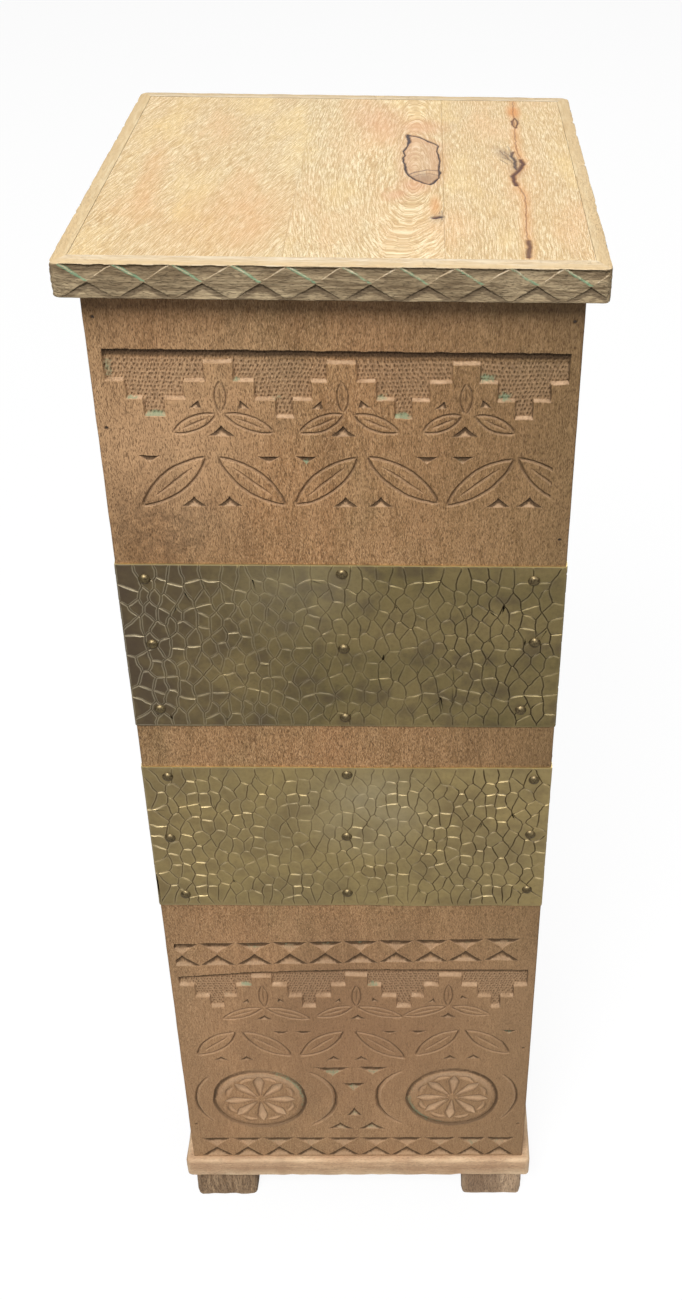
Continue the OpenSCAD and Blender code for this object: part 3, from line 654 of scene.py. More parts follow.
def board(name, box, thick, shape, cell, tolerances, watch=None, back=None):
    """box is (left, right, low, high) on the bench. back moves the ends of the underside."""
    u0, u1, v0, v1 = box
    deselect()
    bpy.ops.mesh.primitive_grid_add(
        x_subdivisions=max(1, round((u1 - u0) / cell)),
        y_subdivisions=max(1, round((v1 - v0) / cell)),
        size=1, location=((u0 + u1) / 2, (v0 + v1) / 2, 0),
    )
    piece = bpy.context.object
    piece.scale = (u1 - u0, v1 - v0, 1)
    bpy.ops.object.transform_apply(location=True, rotation=True, scale=True)
    piece.name = name
    bends = bend_map(shape, box, RASTER, watch or {"depth": 1})
    for round_no, tolerance in enumerate(tolerances):
        centres = face_centres(piece)
        reach = cell / 2 ** round_no / 2
        wanted = is_bent(bends, tolerance, box, RASTER, centres[:, 0], centres[:, 1], reach)
        if wanted.any():
            choose(piece, "FACE", piece.data.polygons, wanted)
            bpy.ops.mesh.subdivide(number_cuts=1)
            leave()
    close_back(piece, thick)
    co = points(piece)
    face = co[:, 2] > -thick / 2
    fields = shape(co[face, 0], co[face, 1])
    depth = np.maximum(fields.pop("depth"), 0)
    if back:
        under = ~face
        co[under, 0] = back[0] + (co[under, 0] - u0) * (back[1] - back[0]) / (u1 - u0)
        # where the face is pushed in, its ends follow the mitre
        at = co[face, 0]
        for end, other in ((u0, back[0]), (u1, back[1])):
            near = unit(1 - np.abs(co[face, 0] - end) / 6)
            at = at + depth * (other - end) / thick * near
        co[face, 0] = at
    co[face, 2] = -depth
    set_points(piece, co)
    for key, values in fields.items():
        full = np.zeros(len(co))
        full[face] = values
        store(piece, key, full)
    return piece


def close_back(piece, thick):
    """Extrudes the border down and closes it with one face."""
    only(piece)
    edit("EDGE", "DESELECT")
    bpy.ops.mesh.select_non_manifold(
        extend=False, use_wire=False, use_boundary=True,
        use_multi_face=False, use_non_contiguous=False, use_verts=False,
    )
    bpy.ops.mesh.extrude_region_move(TRANSFORM_OT_translate={"value": (0, 0, -thick)})
    bpy.ops.mesh.edge_face_add()
    bpy.ops.mesh.select_all(action="SELECT")
    bpy.ops.mesh.normals_make_consistent(inside=False)
    leave()


# %% [markdown]
# ## The front panel
#
# The panel is made as a stack of slabs, so that no mesh is too heavy. They meet where the
# wood is flat or where brass hides them, and the material runs on across the joints.

# %% Make the slabs of the front panel
SLABS = [0, 34, 132, 185.5, 257.2, 400, 590, 752, BODY_H]
for i, (low, high) in enumerate(zip(SLABS[:-1], SLABS[1:])):
    fine = i in (0, 1, 2, 3, 7)
    slab = board(
        f"front_slab_{i}", (-HALF, HALF, low, high), PANEL_T, front_shape,
        1.8 if fine else 2.4, (0.05, 0.06) if fine else (0.05, 0.05, 0.2),
    )
    slab.data.transform(face_matrix(FRONT, HALF, BODY_Z))
    finish_piece(slab, "front_panel")

# %% [markdown]
# ## The sides and the back
#
# They are plain: boards glued edge to edge, planed by hand. A shallow wave, two glue
# lines and a few dents keep them from looking like new plywood.

# %% A plain hand-planed face
def plain_shape(seams, seed, half):
    def shape(x, z):
        planed = 0.16 + 0.16 * noise(x, z / 3, 28, seed)
        line = np.zeros(len(x))
        for s in seams:
            line = np.maximum(line, vee(x - s - 0.2 * wave(z, 60, seed + 1), 0.9))
        dents = unit(noise(x, z, 17, seed + 2) - 0.86) * 3.0
        rounding = rounded_edge(x, -half, half, 0.9 + 0.4 * wave(z, 14, seed + 3))
        return {
            "depth": planed + 0.35 * line + dents + rounding,
            "cut": 0.5 * line + dents,
            "edge": unit(rounding),
        }
    return shape


# %% Make the side and back panels
inner = HALF - PANEL_T
for side, name, seams, half, seed in (
    (RIGHT, "right_panel", (-41, 58), inner, 21), (LEFT, "left_panel", (-66, 30), inner, 23),
    (BACK, "back_panel", (-52, 47), HALF, 31),
):
    panel = board(
        name + "_face", (-half, half, 0, BODY_H), PANEL_T,
        plain_shape(seams, seed, half), 6, (0.05, 0.08),
    )
    panel.data.transform(face_matrix(side, HALF, BODY_Z))
    finish_piece(panel, name)

# %% [markdown]
# ## The top
#
# Three boards run from front to back. The middle one is sawn near the heart, so its
# grain makes arches, and the knots were cut through: one leaves a dark wandering outline,
# the others are cracks filled with bark. The outlines are drawn as polylines, and their
# distance colours the wood and sinks it a little.

# %% Lines drawn on the top: x and distance from the front of the body
KNOT_LOOP = [
    (57, 122), (52.5, 125.5), (47, 131), (43, 138), (41.2, 147), (40, 156), (38.8, 166),
    (38.2, 172), (40, 178), (38.5, 187), (41, 197), (42.5, 206), (42, 214), (41.2, 221),
    (45, 219), (49, 217), (54, 210), (60, 203), (62.5, 199), (61.6, 188), (63, 176),
    (63.6, 166), (62.8, 154), (63.6, 144), (62.6, 134), (60, 127), (57, 122),
]
KNOT_ARC = [(43.5, 140), (48, 146), (55, 149.5), (63, 148)]
KNOT_ARC_2 = [(46, 136), (51, 141), (57, 142.5), (62.5, 139)]
CRACK = [
    (114.6, -8), (115, 6), (116, 22), (115.4, 40), (116.4, 62), (117.6, 84), (118, 104),
    (115, 120), (112.6, 134), (115, 146), (119.5, 156), (120.5, 168), (118, 180),
    (117, 196), (117.6, 220), (118.4, 244), (118.8, 268), (120, 300),
]
SPLIT_FRONT = [(114.4, 4), (115.2, 12), (116.2, 20), (115.8, 29)]
KNOT_RIGHT = [
    (113.6, 122), (112.2, 131), (112.4, 140), (115.5, 148), (118, 155), (120.4, 163), (119, 172),
]
KNOT_RIGHT_2 = [(116, 150), (114, 158), (115.4, 168), (113, 178), (114.5, 188)]
FEATHERS = [
    [(113, 166), (109, 178), (105.5, 190)], [(112, 170), (106.5, 176)], [(113, 174), (108.5, 188)],
    [(110, 163), (105, 171)], [(114, 180), (111, 199)],
]
TEAR = [(119, 239), (117, 246), (117.2, 254), (119.2, 262), (121, 255), (120.6, 246), (119, 239)]
DARK_SPOT = [(60, 64), (63.6, 65.5)]
SPOT_TICKS = [[(64.5, 60), (64.8, 76)], [(62.5, 70), (63.2, 74)]]
# line, half width, strength and how crisp its border is
DARK_LINES = [
    (KNOT_ARC, 0.8, 0.7, 1.4), (KNOT_ARC_2, 0.6, 0.5, 1.4), (CRACK, 0.4, 0.6, 1.4),
    (SPLIT_FRONT, 1.9, 0.9, 1.4), (KNOT_RIGHT, 1.8, 1, 1.4), (KNOT_RIGHT_2, 1.3, 0.9, 1.4),
    (TEAR, 0.8, 0.9, 1.4), (DARK_SPOT, 2.4, 1, 1.4),
    *((line, 0.6, 0.55, 1.3) for line in FEATHERS + SPOT_TICKS),
]


def line_distance(x, y, line):
    best = np.full(len(x), 1e9)
    for (ax, ay), (bx, by) in zip(line[:-1], line[1:]):
        dx, dy = bx - ax, by - ay
        t = unit(((x - ax) * dx + (y - ay) * dy) / (dx * dx + dy * dy))
        best = np.minimum(best, np.hypot(x - ax - t * dx, y - ay - t * dy))
    return best


def inside_loop(x, y, loop):
    inside = np.zeros(len(x), bool)
    for (ax, ay), (bx, by) in zip(loop[:-1], loop[1:]):
        crosses = (ay > y) != (by > y)
        at = ax + (y - ay) * (bx - ax) / ((by - ay) if by != ay else 1)
        inside ^= crosses & (x < at)
    return inside


# strength, x, y, half width, half length and turn of the stains
ORANGE_BLOTS = [
    (1.3, 119, 276, 7, 24), (0.8, 60, 84, 5, 26), (0.25, -125, 120, 11, 100, 4),
    (0.5, 115, 116, 6, 14), (0.3, -60, 60, 60, 90, -20),
]
PINK_BLOTS = [(0.8, 47, 120, 16, 22), (0.7, 50, 238, 26, 24), (0.55, 22, 250, 30, 60, 10)]
GREY_BLOTS = [(1, 109, 180, 8, 24, 20), (0.8, 115, 155, 7, 30), (0.7, 61, 62, 7, 11)]
# x, y and radius of the two small dents
DENTS = [(3, 7, 1.4), (-149.5, 46, 1.3)]


def blot(x, y, cx, cy, rx, ry, turn=0.0):
    c, s = math.cos(math.radians(turn)), math.sin(math.radians(turn))
    u, v = (x - cx) * c + (y - cy) * s, (y - cy) * c - (x - cx) * s
    return unit(1.4 - 1.4 * np.hypot(u / rx, v / ry))


def strongest(*fields):
    return np.max(fields, axis=0)


def blots(x, y, places):
    return strongest(*(strength * blot(x, y, *place) for strength, *place in places))


# %% The face of the top boards
def top_shape(left, right):
    def shape(x, world_y):
        y = world_y + HALF
        wx = x + 0.5 * noise(x, y, 5, 51) + 0.25 * noise(x, y, 2, 52)
        wy = y + 0.5 * noise(x, y, 5, 53) + 0.25 * noise(x, y, 2, 54)
        loop = line_distance(wx, wy, KNOT_LOOP)
        thick = 0.6 + 0.45 * noise(x, y, 9, 55) + 0.5 * unit((y - 195) / 20)
        dark = unit(1.6 - loop / (0.7 * thick + 0.3))
        for line, width, strength, crisp in DARK_LINES:
            off = line_distance(wx, wy, line)
            dark = np.maximum(dark, strength * unit(crisp - off / width))
        inside = inside_loop(wx, wy, KNOT_LOOP)
        beside = unit(1 - line_distance(x, y, CRACK) / 5.5)
        orange = strongest(0.8 * beside, blots(x, y, ORANGE_BLOTS))
        ring = np.abs(np.hypot((x - 35.5) / 8.5, (y - 103) / 14.5) - 1)
        pink = strongest(
            0.75 * blot(x, y, 35.5, 103, 9, 16, -24), 0.5 * unit(1 - ring / 0.12),
            blots(x, y, PINK_BLOTS), 0.5 * unit(1 - loop / 9),
        )
        grey = strongest(blots(x, y, GREY_BLOTS), 1.2 * blot(x, y, 53, 133, 12, 14) * inside)
        arch_x, arch_y = x - 47, y - 128
        arches = np.sqrt((arch_x / 16) ** 2 + (arch_y / np.where(arch_y < 0, 64, 120)) ** 2)
        rings = x / 9 - (y - 150) * np.where(x < -30, 0.028, 0.0)
        if left > -40 and right < 70:
            rings = 1.8 * arches + 0.012 * (x - 34)
        rings = rings + 0.4 * noise(x, y / 7, 26, 56)
        rounding = rounded_edge(x, left, right, 0.2) + rounded_edge(world_y, -HALF, 153, 0.4)
        dents = strongest(*(
            0.5 * unit(1 - np.hypot(x - cx, y - cy) / r) for cx, cy, r in DENTS
        ))
        sink = 0.7 * dark ** 2 + dents
        return {
            "depth": 0.02 + rounding + sink + 0.05 * (1 + noise(x, y, 40, 57)),
            "dark": np.maximum(dark, dents),
            "inside": inside.astype(float),
            "orange": orange,
            "pink": pink,
            "grey": grey,
            "rings": rings + 0.07 * noise(x, y / 3, 5, 58),
            "edge": unit(rounding / 0.5) * (np.abs(x + 29.5) > 2),
        }
    return shape


# %% Make the three boards
SEAM_ENDS = {"left": (-153.9, -29.5), "middle": (-29.5, 65.45), "right": (65.55, 153.9)}
for name, (left, right) in SEAM_ENDS.items():
    lo, hi = millimetre_box("top_board_" + name)
    plank = board(
        f"plank_{name}", (left, right, lo[1], hi[1]), TOP_T, top_shape(left, right),
        2.0, (0.035, 0.035), watch={"depth": 1, "dark": 0.5, "inside": 0.3, "rings": 0.03},
    )
    plank.data.transform(flat_matrix(TOP_Z + TOP_T))
    finish_piece(plank, "top_board_" + name)

# %% [markdown]
# ## The carved frame of the top
#
# A rail is a board on edge with a row of diamonds and mitred ends. The mitre comes from the
# underside: when the border has been extruded, the back of the rail is made shorter.

# %% The face of a rail
FRONT_CROSSINGS = [-141.3, -108.8, -75, -41.5, -9.5, 22.5, 55.5, 87.5, 119.2, 150.5]
RAIL_PITCH = 32.4
EVEN_CROSSINGS = [4.6 + (i - 4.5) * RAIL_PITCH for i in range(10)]
CORNER_R = 5
# how far an arc of 90 degrees falls behind its corner, for a radius of 1, along the face
CORNER_CUT = 0.293


def rail_shape(crossings, seed, slopes):
    def shape(x, z):
        wx = x + 0.45 * noise(x, z, 7, seed)
        wz = z + 0.35 * noise(x, z, 7, seed + 1)
        cuts = no_cuts(x)
        painted = np.zeros(len(x))
        for cx, room in gaps_round(crossings, RAIL_PITCH):
            # each chip paints shadow under its upper wall, weakly in the upper row, strongly in the
            # lower
            chip(wx, wz, cuts, cx, 21.3, 11.3, room - 0.8, 2.9, 1.02, 0, 0.3)
            chip(wx, wz, cuts, cx, 0.6, 10.7, room - 0.8, 2.9, 1.02, 0, 0.8)
            t = (wz - 11.3) / 10
            off = np.abs(wx - cx + 15.6 * t) + np.where((t < 0) | (t > 1), 9, 0)
            share = 0.75 + 0.5 * noise(x, z, 30, seed + 5)
            painted = np.maximum(painted, share * unit(1.5 - off / 1.2))
        cuts *= unit((TOP_HALF - 1.5 - np.abs(x)) / 2)
        depth, dirt, bare_and_lit = cuts
        rounding = rounded_edge(z, 0, TOP_T, 1.1 + 0.5 * wave(x, 9, seed + 2))
        rough = 0.16 * noise(x / 5, z, 1.6, seed + 3) + 0.1 * noise(x / 3, z, 0.9, seed + 4)
        # both rails of a corner are rounded to the same line on their mitre
        corner = unit(1 - (TOP_HALF - np.abs(x)) / CORNER_R) ** 1.7
        corner = CORNER_CUT * CORNER_R * corner / np.sqrt(np.where(x < 0, *slopes))
        return {
            "depth": depth + rounding + 0.2 + rough + corner,
            "cut": dirt,
            "ledge": 0.5 * bare_and_lit,
            "paint": unit(painted),
            "edge": unit(rounding),
        }
    return shape


# %% Make the four rails
# how wide each rail is, in the order of the sides
RAIL_WIDTHS = [13, 9, 10, 9]
SIDES = ("front", "right", "back", "left")

for side, name in enumerate(SIDES):
    before, width, after = (RAIL_WIDTHS[(side + k) % 4] for k in (-1, 0, 1))
    inner = (-TOP_HALF + before, TOP_HALF - after)
    crossings = FRONT_CROSSINGS if side == FRONT else EVEN_CROSSINGS
    slopes = [(TOP_HALF - abs(end)) / width for end in inner]
    rail = board(
        "rail_" + name, (-TOP_HALF, TOP_HALF, 0, TOP_T), width,
        rail_shape(crossings, 60 + 7 * side, slopes),
        1.2, (0.05, 0.05) if side == FRONT else (0.05,), back=inner,
    )
    rail.data.transform(face_matrix(side, TOP_HALF, TOP_Z))
    finish_piece(rail, "top_rail_" + name, smooth=55)

# %% [markdown]
# ## Brass with a crackle
#
# The sheet was rolled over a crackled pattern. Its cells are those of scattered points: each
# cell holds all that is nearest to its own point. The cells are made as faces, inset twice,
# and what is left between them is pressed in, which gives fine grooves with a soft shoulder
# and needs few faces. The pattern repeats like that of a roller.

# %% Cells round scattered points
TILE = (74.0, 98.0)
TRIES = 3000
# how near to the border of a sheet a point may lie, and how many neighbours cut a cell
BORDER_GAP = 3.4
NEIGHBOURS = 17
# heights count for less than widths, so that the cells are tall
SPREAD_SQUEEZE, CELL_SQUEEZE = 0.78, 0.62


def scattered(seed, gap):
    """Points of one tile, some closer together than others, that also fit at its borders."""
    rnd = np.random.default_rng(seed)
    kept = []
    for _ in range(TRIES):
        p = rnd.uniform((0, 0), TILE)
        room = gap * rnd.choice((0.8, 0.95, 1.35))
        far = all(
            math.hypot(
                (p[0] - q[0] + TILE[0] / 2) % TILE[0] - TILE[0] / 2,
                SPREAD_SQUEEZE * ((p[1] - q[1] + TILE[1] / 2) % TILE[1] - TILE[1] / 2),
            ) > room
            for q in kept
        )
        if far:
            kept.append(p)
    return np.array(kept)


def clipped(poly, point, normal):
    """The part of a polygon on the side of a line that its normal leaves."""
    out = []
    for (ax, ay), (bx, by) in zip(poly, poly[1:] + poly[:1]):
        da = (ax - point[0]) * normal[0] + (ay - point[1]) * normal[1]
        db = (bx - point[0]) * normal[0] + (by - point[1]) * normal[1]
        if da <= 0:
            out.append((ax, ay))
        if (da < 0 < db) or (db < 0 < da):
            t = da / (da - db)
            out.append((ax + t * (bx - ax), ay + t * (by - ay)))
    return out


def crackle_cells(box, seeds):
    """The cells inside a box, stretched upwards, as lists of corners."""
    u0, u1, v0, v1 = box
    i0, i1 = math.floor(u0 / TILE[0]) - 1, math.ceil(u1 / TILE[0]) + 1
    j0, j1 = math.floor(v0 / TILE[1]) - 1, math.ceil(v1 / TILE[1]) + 1
    cloud = np.array([
        (s[0] + i * TILE[0], s[1] + j * TILE[1])
        for i in range(i0, i1) for j in range(j0, j1) for s in seeds
    ])
    lowest, highest = np.array((u0, v0)) + BORDER_GAP, np.array((u1, v1)) - BORDER_GAP
    cloud = cloud[((cloud > lowest) & (cloud < highest)).all(1)]
    squeeze = np.array([1, CELL_SQUEEZE])
    cells = []
    for p in cloud:
        gaps = np.hypot(*((cloud - p) * squeeze).T)
        near = cloud[np.argsort(gaps)[1:NEIGHBOURS + 1]]
        poly = [(u0, v0), (u1, v0), (u1, v1), (u0, v1)]
        for q in near:
            d = (q - p) * squeeze * squeeze
            poly = clipped(poly, (p + q) / 2, d)
            if len(poly) < 3:
                break
        if len(poly) >= 3:
            cells.append(poly)
    return cells


# %% Lay the cells out as one flat sheet of faces
def laid_cells(name, box, seeds):
    corners, faces = [], []
    for poly in crackle_cells(box, seeds):
        first = len(corners)
        for (ax, ay), (bx, by) in zip(poly, poly[1:] + poly[:1]):
            cuts = 4 if math.hypot(bx - ax, by - ay) > 8 else 2
            for k in range(cuts):
                corners.append((ax + (bx - ax) * k / cuts, ay + (by - ay) * k / cuts, 0))
        faces.append(list(range(first, len(corners))))
    mesh = bpy.data.meshes.new(name)
    mesh.from_pydata(corners, [], faces)
    piece = add_object(name, mesh)
    only(piece)
    edit(action="SELECT")
    bpy.ops.mesh.remove_doubles(threshold=1.3)
    bpy.ops.mesh.dissolve_degenerate(threshold=0.05)
    leave()
    return piece


# %% Let the lines wander, and say how deep and how level each is
BORDER_HOLD = 5


def wander(piece, box, seed):
    """Moves the corners, but not those on the border. Returns them and the depth at each."""
    u0, u1, v0, v1 = box
    co = points(piece)
    x, y = co[:, 0].copy(), co[:, 1].copy()
    du, dv = np.minimum(x - u0, u1 - x), np.minimum(y - v0, v1 - y)
    hold_u, hold_v = unit(du / BORDER_HOLD), unit(dv / BORDER_HOLD)
    co[:, 0] += (1.5 * noise(x, y, 8, seed) + 0.5 * noise(x, y, 3, seed + 1)) * hold_u * hold_v
    co[:, 1] += 1.5 * noise(x, y, 8, seed + 2) * hold_v * hold_u
    set_points(piece, co)
    outer = 0.25 * unit(np.abs(co[:, 0]) / 60 - 1)
    fade = 0.85 + 0.35 * noise(co[:, 0], co[:, 1], 12, seed + 3) + outer
    return co, np.where((du < 0.01) | (dv < 0.01), 0, np.clip(fade, 0.5, 1.25))


def how_level(piece, co):
    """How level the lines are that meet at each point."""
    ends = np.array([e.vertices[:] for e in piece.data.edges])
    run = (co[ends[:, 0], :2] - co[ends[:, 1], :2]) ** 2
    level, weight = np.zeros(len(co)), np.full(len(co), 1e-6)
    for k in (0, 1):
        np.add.at(level, ends[:, k], run[:, 0])
        np.add.at(weight, ends[:, k], run.sum(1))
    return unit((level / weight - 0.45) / 0.3)


def cell_tilts(piece, seed):
    """Each cell leans a little. Returns the height at each point of the inner faces."""
    rnd = np.random.default_rng(seed)
    co = points(piece)
    tilts = np.zeros(len(co))
    for cell in piece.data.polygons:
        if cell.select:
            corner = np.array(cell.vertices)
            slope = rnd.normal(0, 0.014, 2)
            tilts[corner] = (co[corner, :2] - co[corner, :2].mean(0)) @ slope
    return np.clip(tilts, -0.14, 0.02)


# %% Make one sheet of crackled brass on the bench
LINE_WIDTHS = (0.85, 0.6)


def crackled_sheet(name, box, seeds, thick, seed, lift):
    piece = laid_cells(name, box, seeds)
    co, groove = wander(piece, box, seed)
    level = how_level(piece, co)
    counts = [len(co)]
    only(piece)
    edit("FACE", "SELECT")
    for width in LINE_WIDTHS:
        bpy.ops.mesh.inset(use_individual=True, thickness=width, use_even_offset=False)
        leave()
        counts.append(len(piece.data.vertices))
        edit()
    leave()
    tilts = cell_tilts(piece, seed)
    close_back(piece, thick)
    co = points(piece)
    lines, ring, tilted = counts
    fields = {key: np.zeros(len(co)) for key in ("groove", "level", "shoulder")}
    fields["groove"][:lines], fields["level"][:lines] = groove, level
    fields["shoulder"][lines:ring] = 1
    height = np.zeros(len(co))
    height[:tilted] = tilts
    height[:lines] = -(0.5 + lift * level) * groove
    height[lines:ring] = -0.1
    front = co[:, 2] > -thick / 2
    co[:, 2] = np.where(front, height - 0.02, co[:, 2])
    # the shears wandered a little along the two long edges
    low = unit(1 - (co[:, 1] - box[2]) / 12)
    high = unit(1 - (box[3] - co[:, 1]) / 12)
    x = co[:, 0]
    co[:, 1] += 0.5 * (high * wave(x, 55, seed + 5) + low * wave(x, 55, seed + 6))
    # the top edge is marked for a painted highlight in the material
    fields["rim"] = unit(1 - np.abs(box[3] - co[:, 1]) / 1.3)
    set_points(piece, co)
    for key, values in fields.items():
        store(piece, key, values)
    return piece


# %% [markdown]
# A sheet bends round the corner of the box. So the last millimetres at each end are laid
# along a small arc of an eighth of a turn, and the next side does the other half.

# %% Bend the ends of a sheet round the corners
SHEET_T = 0.8
BEND_R = 1.8
LAP = 24
CELL_GAP = 9.2


def bend_ends(piece, out):
    """out is how far the face of the sheet is from the middle of the box."""
    co = points(piece)
    flat = out - BEND_R
    s = np.abs(co[:, 0])
    a = np.clip((s - flat) / BEND_R, 0, math.pi / 4)
    radius = BEND_R + co[:, 2]
    over = a > 0
    co[over, 0] = (np.sign(co[:, 0]) * (flat + np.sin(a) * radius))[over]
    co[over, 2] = (np.cos(a) * radius - BEND_R)[over]
    set_points(piece, co)


def brass_band(name, node, seed, lift):
    lo, hi = millimetre_box(node)
    low, high = lo[2] - BODY_Z, hi[2] - BODY_Z
    seeds = scattered(seed, CELL_GAP)
    out = HALF + SHEET_T
    reach = out - BEND_R + BEND_R * math.pi / 4
    strips = [
        (label, side, reach, out, 7 * side, 10 * side) for side, label in enumerate(SIDES)
    ]
    strips.append(("lap", BACK, LAP / 2, out + SHEET_T, 11, 50))
    for label, side, half, plane, shift, more in strips:
        box = (-half, half, low, high)
        sheet = crackled_sheet(f"{name}_{label}", box, seeds + shift, SHEET_T, seed + more, lift)
        if label != "lap":
            bend_ends(sheet, out)
        sheet.data.transform(face_matrix(side, plane, BODY_Z))
        finish_piece(sheet, node, smooth=24)


brass_band("brass_upper", "brass_band_upper", 101, 0.12)
brass_band("brass_lower", "brass_band_lower", 202, 0.3)

# %% [markdown]
# ## Dome nails
#
# Seventy-two domes hold the brass. One is modelled: a sphere, cut off below, with a thin
# lip pulled out at its foot. The others are copies, each turned, tilted and dented a bit
# differently. Their places are the crowns of the CAD's nails.

# %% Find the crowns of the CAD nails
CROWN_OUT, NAIL_ROOM = 2.9, 12


def crowns(node):
    """(side, x, height, distance from the middle) of each nail of a node, in millimetres."""
    co = points(frame["nodes"][node])
    found = []
    for side in range(4):
        seen = np.array(co @ np.array(Matrix.Rotation(math.radians(90 * side), 3, "Z")))
        groups = []
        for p in seen[seen[:, 1] < -(HALF + CROWN_OUT) * MM]:
            for g in groups:
                if math.hypot(g[0][0] - p[0], g[0][2] - p[2]) < NAIL_ROOM * MM:
                    g.append(p)
                    break
            else:
                groups.append([p])
        for g in groups:
            g = np.array(g)
            mid = (g.min(0) + g.max(0)) / 2
            found.append((side, mid[0] / MM, mid[2] / MM, -g[:, 1].min() / MM))
    return found


print("crowns", {n: len(crowns(n)) for n in ("upper_band_nails", "lower_band_nails")})


# %% Model one nail and copy it
DOME_HEIGHT, DOME_RADIUS = 2.55, 4.18
# how far the foot of a dome is behind its crown, how deep its lip sinks into the brass,
# and how much it may tilt
FOOT_BACK, SINK, TILT = 2.62, 0.12, 0.05


def dome_nail():
    deselect()
    bpy.ops.mesh.primitive_uv_sphere_add(segments=20, ring_count=14, radius=4.6)
    piece = bpy.context.object
    edit(action="SELECT")
    bpy.ops.mesh.bisect(plane_co=(0, 0, 1.7), plane_no=(0, 0, 1), clear_inner=True)
    bpy.ops.mesh.select_mode(type="EDGE")
    bpy.ops.mesh.select_all(action="DESELECT")
    bpy.ops.mesh.select_non_manifold(extend=False)
    bpy.ops.mesh.extrude_region_move(TRANSFORM_OT_translate={"value": (0, 0, -0.35)})
    bpy.ops.transform.resize(value=(1.04, 1.04, 1))
    bpy.ops.mesh.edge_face_add()
    leave()
    co = points(piece)
    co[:, 2] -= co[:, 2].min()
    co[:, 2] *= DOME_HEIGHT / co[:, 2].max()
    co[:, :2] *= DOME_RADIUS / np.hypot(co[:, 0], co[:, 1]).max()
    set_points(piece, co)
    return piece


def nail_set(name, node, seed):
    rnd = np.random.default_rng(seed)
    first = dome_nail()
    base = points(first)
    copies = []
    for side, x, z, out in crowns(node):
        nail = add_object(name, first.data.copy())
        dented = base.copy()
        around = 3 * np.cos(np.arctan2(base[:, 1], base[:, 0])) + 40 * rnd.random()
        dent = 0.22 * unit(noise(around, base[:, 2], 1.6, seed))
        dented[:, 2] -= dent * (base[:, 2] > 0.6)
        set_points(nail, dented)
        tilt = Matrix.Rotation(rnd.uniform(-TILT, TILT), 4, "X")
        tilt = tilt @ Matrix.Rotation(rnd.uniform(-TILT, TILT), 4, "Y")
        turn = Matrix.Rotation(rnd.uniform(0, 6.28), 4, "Z")
        place = face_matrix(side, out - FOOT_BACK, 0) @ Matrix.Translation((x, z, -SINK))
        nail.data.transform(place @ tilt @ turn)
        copies.append(nail)
    bpy.data.objects.remove(first)
    only(copies[0])
    for nail in copies:
        nail.select_set(True)
    bpy.ops.object.join()
    joined = bpy.context.object
    joined.name = name
    finish_piece(joined, node, smooth=50)


nail_set("dome_nails_upper", "upper_band_nails", 7)
nail_set("dome_nails_lower", "lower_band_nails", 8)


# %% [markdown]
# ## The base plate and the feet
#
# Both are blocks with worn edges. The box is bevelled, cut into small faces with a row of
# bisect planes, and then its skin is moved in by a noise, most of all along the edges.

# %% A worn block
WORN_REACH = 5


def worn_block(name, lo, hi, top_round, side_round, pitch, seed, wear):
    deselect()
    size = [b - a for a, b in zip(lo, hi)]
    bpy.ops.mesh.primitive_cube_add(
        size=1, location=[(a + b) / 2 for a, b in zip(lo, hi)], scale=size)
    bpy.ops.object.transform_apply(location=True, rotation=True, scale=True)
    piece = bpy.context.object
    piece.name = name
    for upright_ones, offset in ((True, side_round), (False, top_round)):
        chosen = []
        for e in piece.data.edges:
            a, b = (piece.data.vertices[i].co for i in e.vertices)
            upright = abs(a.x - b.x) + abs(a.y - b.y) < 0.01
            chosen.append(upright if upright_ones else min(a.z, b.z) > hi[2] - 0.01)
        choose(piece, "EDGE", piece.data.edges, chosen)
        bpy.ops.mesh.bevel(offset=offset, segments=4, affect="EDGES", clamp_overlap=True)
        leave()
    edit()
    for axis in range(3):
        count = int(size[axis] // pitch)
        for k in range(1, count):
            at, normal = np.zeros(3), np.zeros(3)
            at[axis], normal[axis] = lo[axis] + size[axis] * k / count, 1
            bpy.ops.mesh.select_all(action="SELECT")
            bpy.ops.mesh.bisect(plane_co=at, plane_no=normal)
    leave()
    co = points(piece)
    centre = (np.array(lo) + np.array(hi)) / 2
    half = np.array(size) / 2
    near = 1 - unit((half - np.abs(co - centre)) / WORN_REACH)
    edge = unit(np.sort(near, axis=1)[:, -2])
    bumps = 0.5 + 0.5 * noise(co[:, 0] + 1.7 * co[:, 2], co[:, 1] - co[:, 2], 9, seed)
    inward = -(co - centre) / half
    inward[np.abs(inward) < 0.9] = 0
    co += inward * (wear * bumps * (0.35 + 0.65 * edge))[:, None]
    set_points(piece, co)
    store(piece, "edge", edge * (0.5 + 0.5 * noise(co[:, 0], co[:, 1] + co[:, 2], 13, seed + 1)))
    piece.data.transform(Matrix.Scale(MM, 4))
    return piece


# %% Make the plate and the four feet
plate = worn_block("plate_block", *millimetre_box("base_plate"), 4, 4.5, 8, 71, 0.8)
finish_piece(plate, "base_plate", smooth=40)
for i, name in enumerate(("front_left", "front_right", "back_left", "back_right")):
    lo, hi = millimetre_box("foot_" + name)
    foot = worn_block("block_" + name, lo, hi, 0.8, 4.5, 5, 80 + 3 * i, 1.3)
    finish_piece(foot, "foot_" + name, smooth=40)

# %% [markdown]
# ## Tools for materials
#
# A colour is written as it looks on a screen, from 0 to 255. `Nodes` holds a node tree and
# has short forms of the nodes that come up again and again: `put` adds a node and wires it.

# %% Short forms for node trees
def shade(r, g, b):
    linear = [
        c / 255 / 12.92 if c <= 10 else ((c / 255 + 0.055) / 1.055) ** 2.4 for c in (r, g, b)
    ]
    return (*linear, 1)


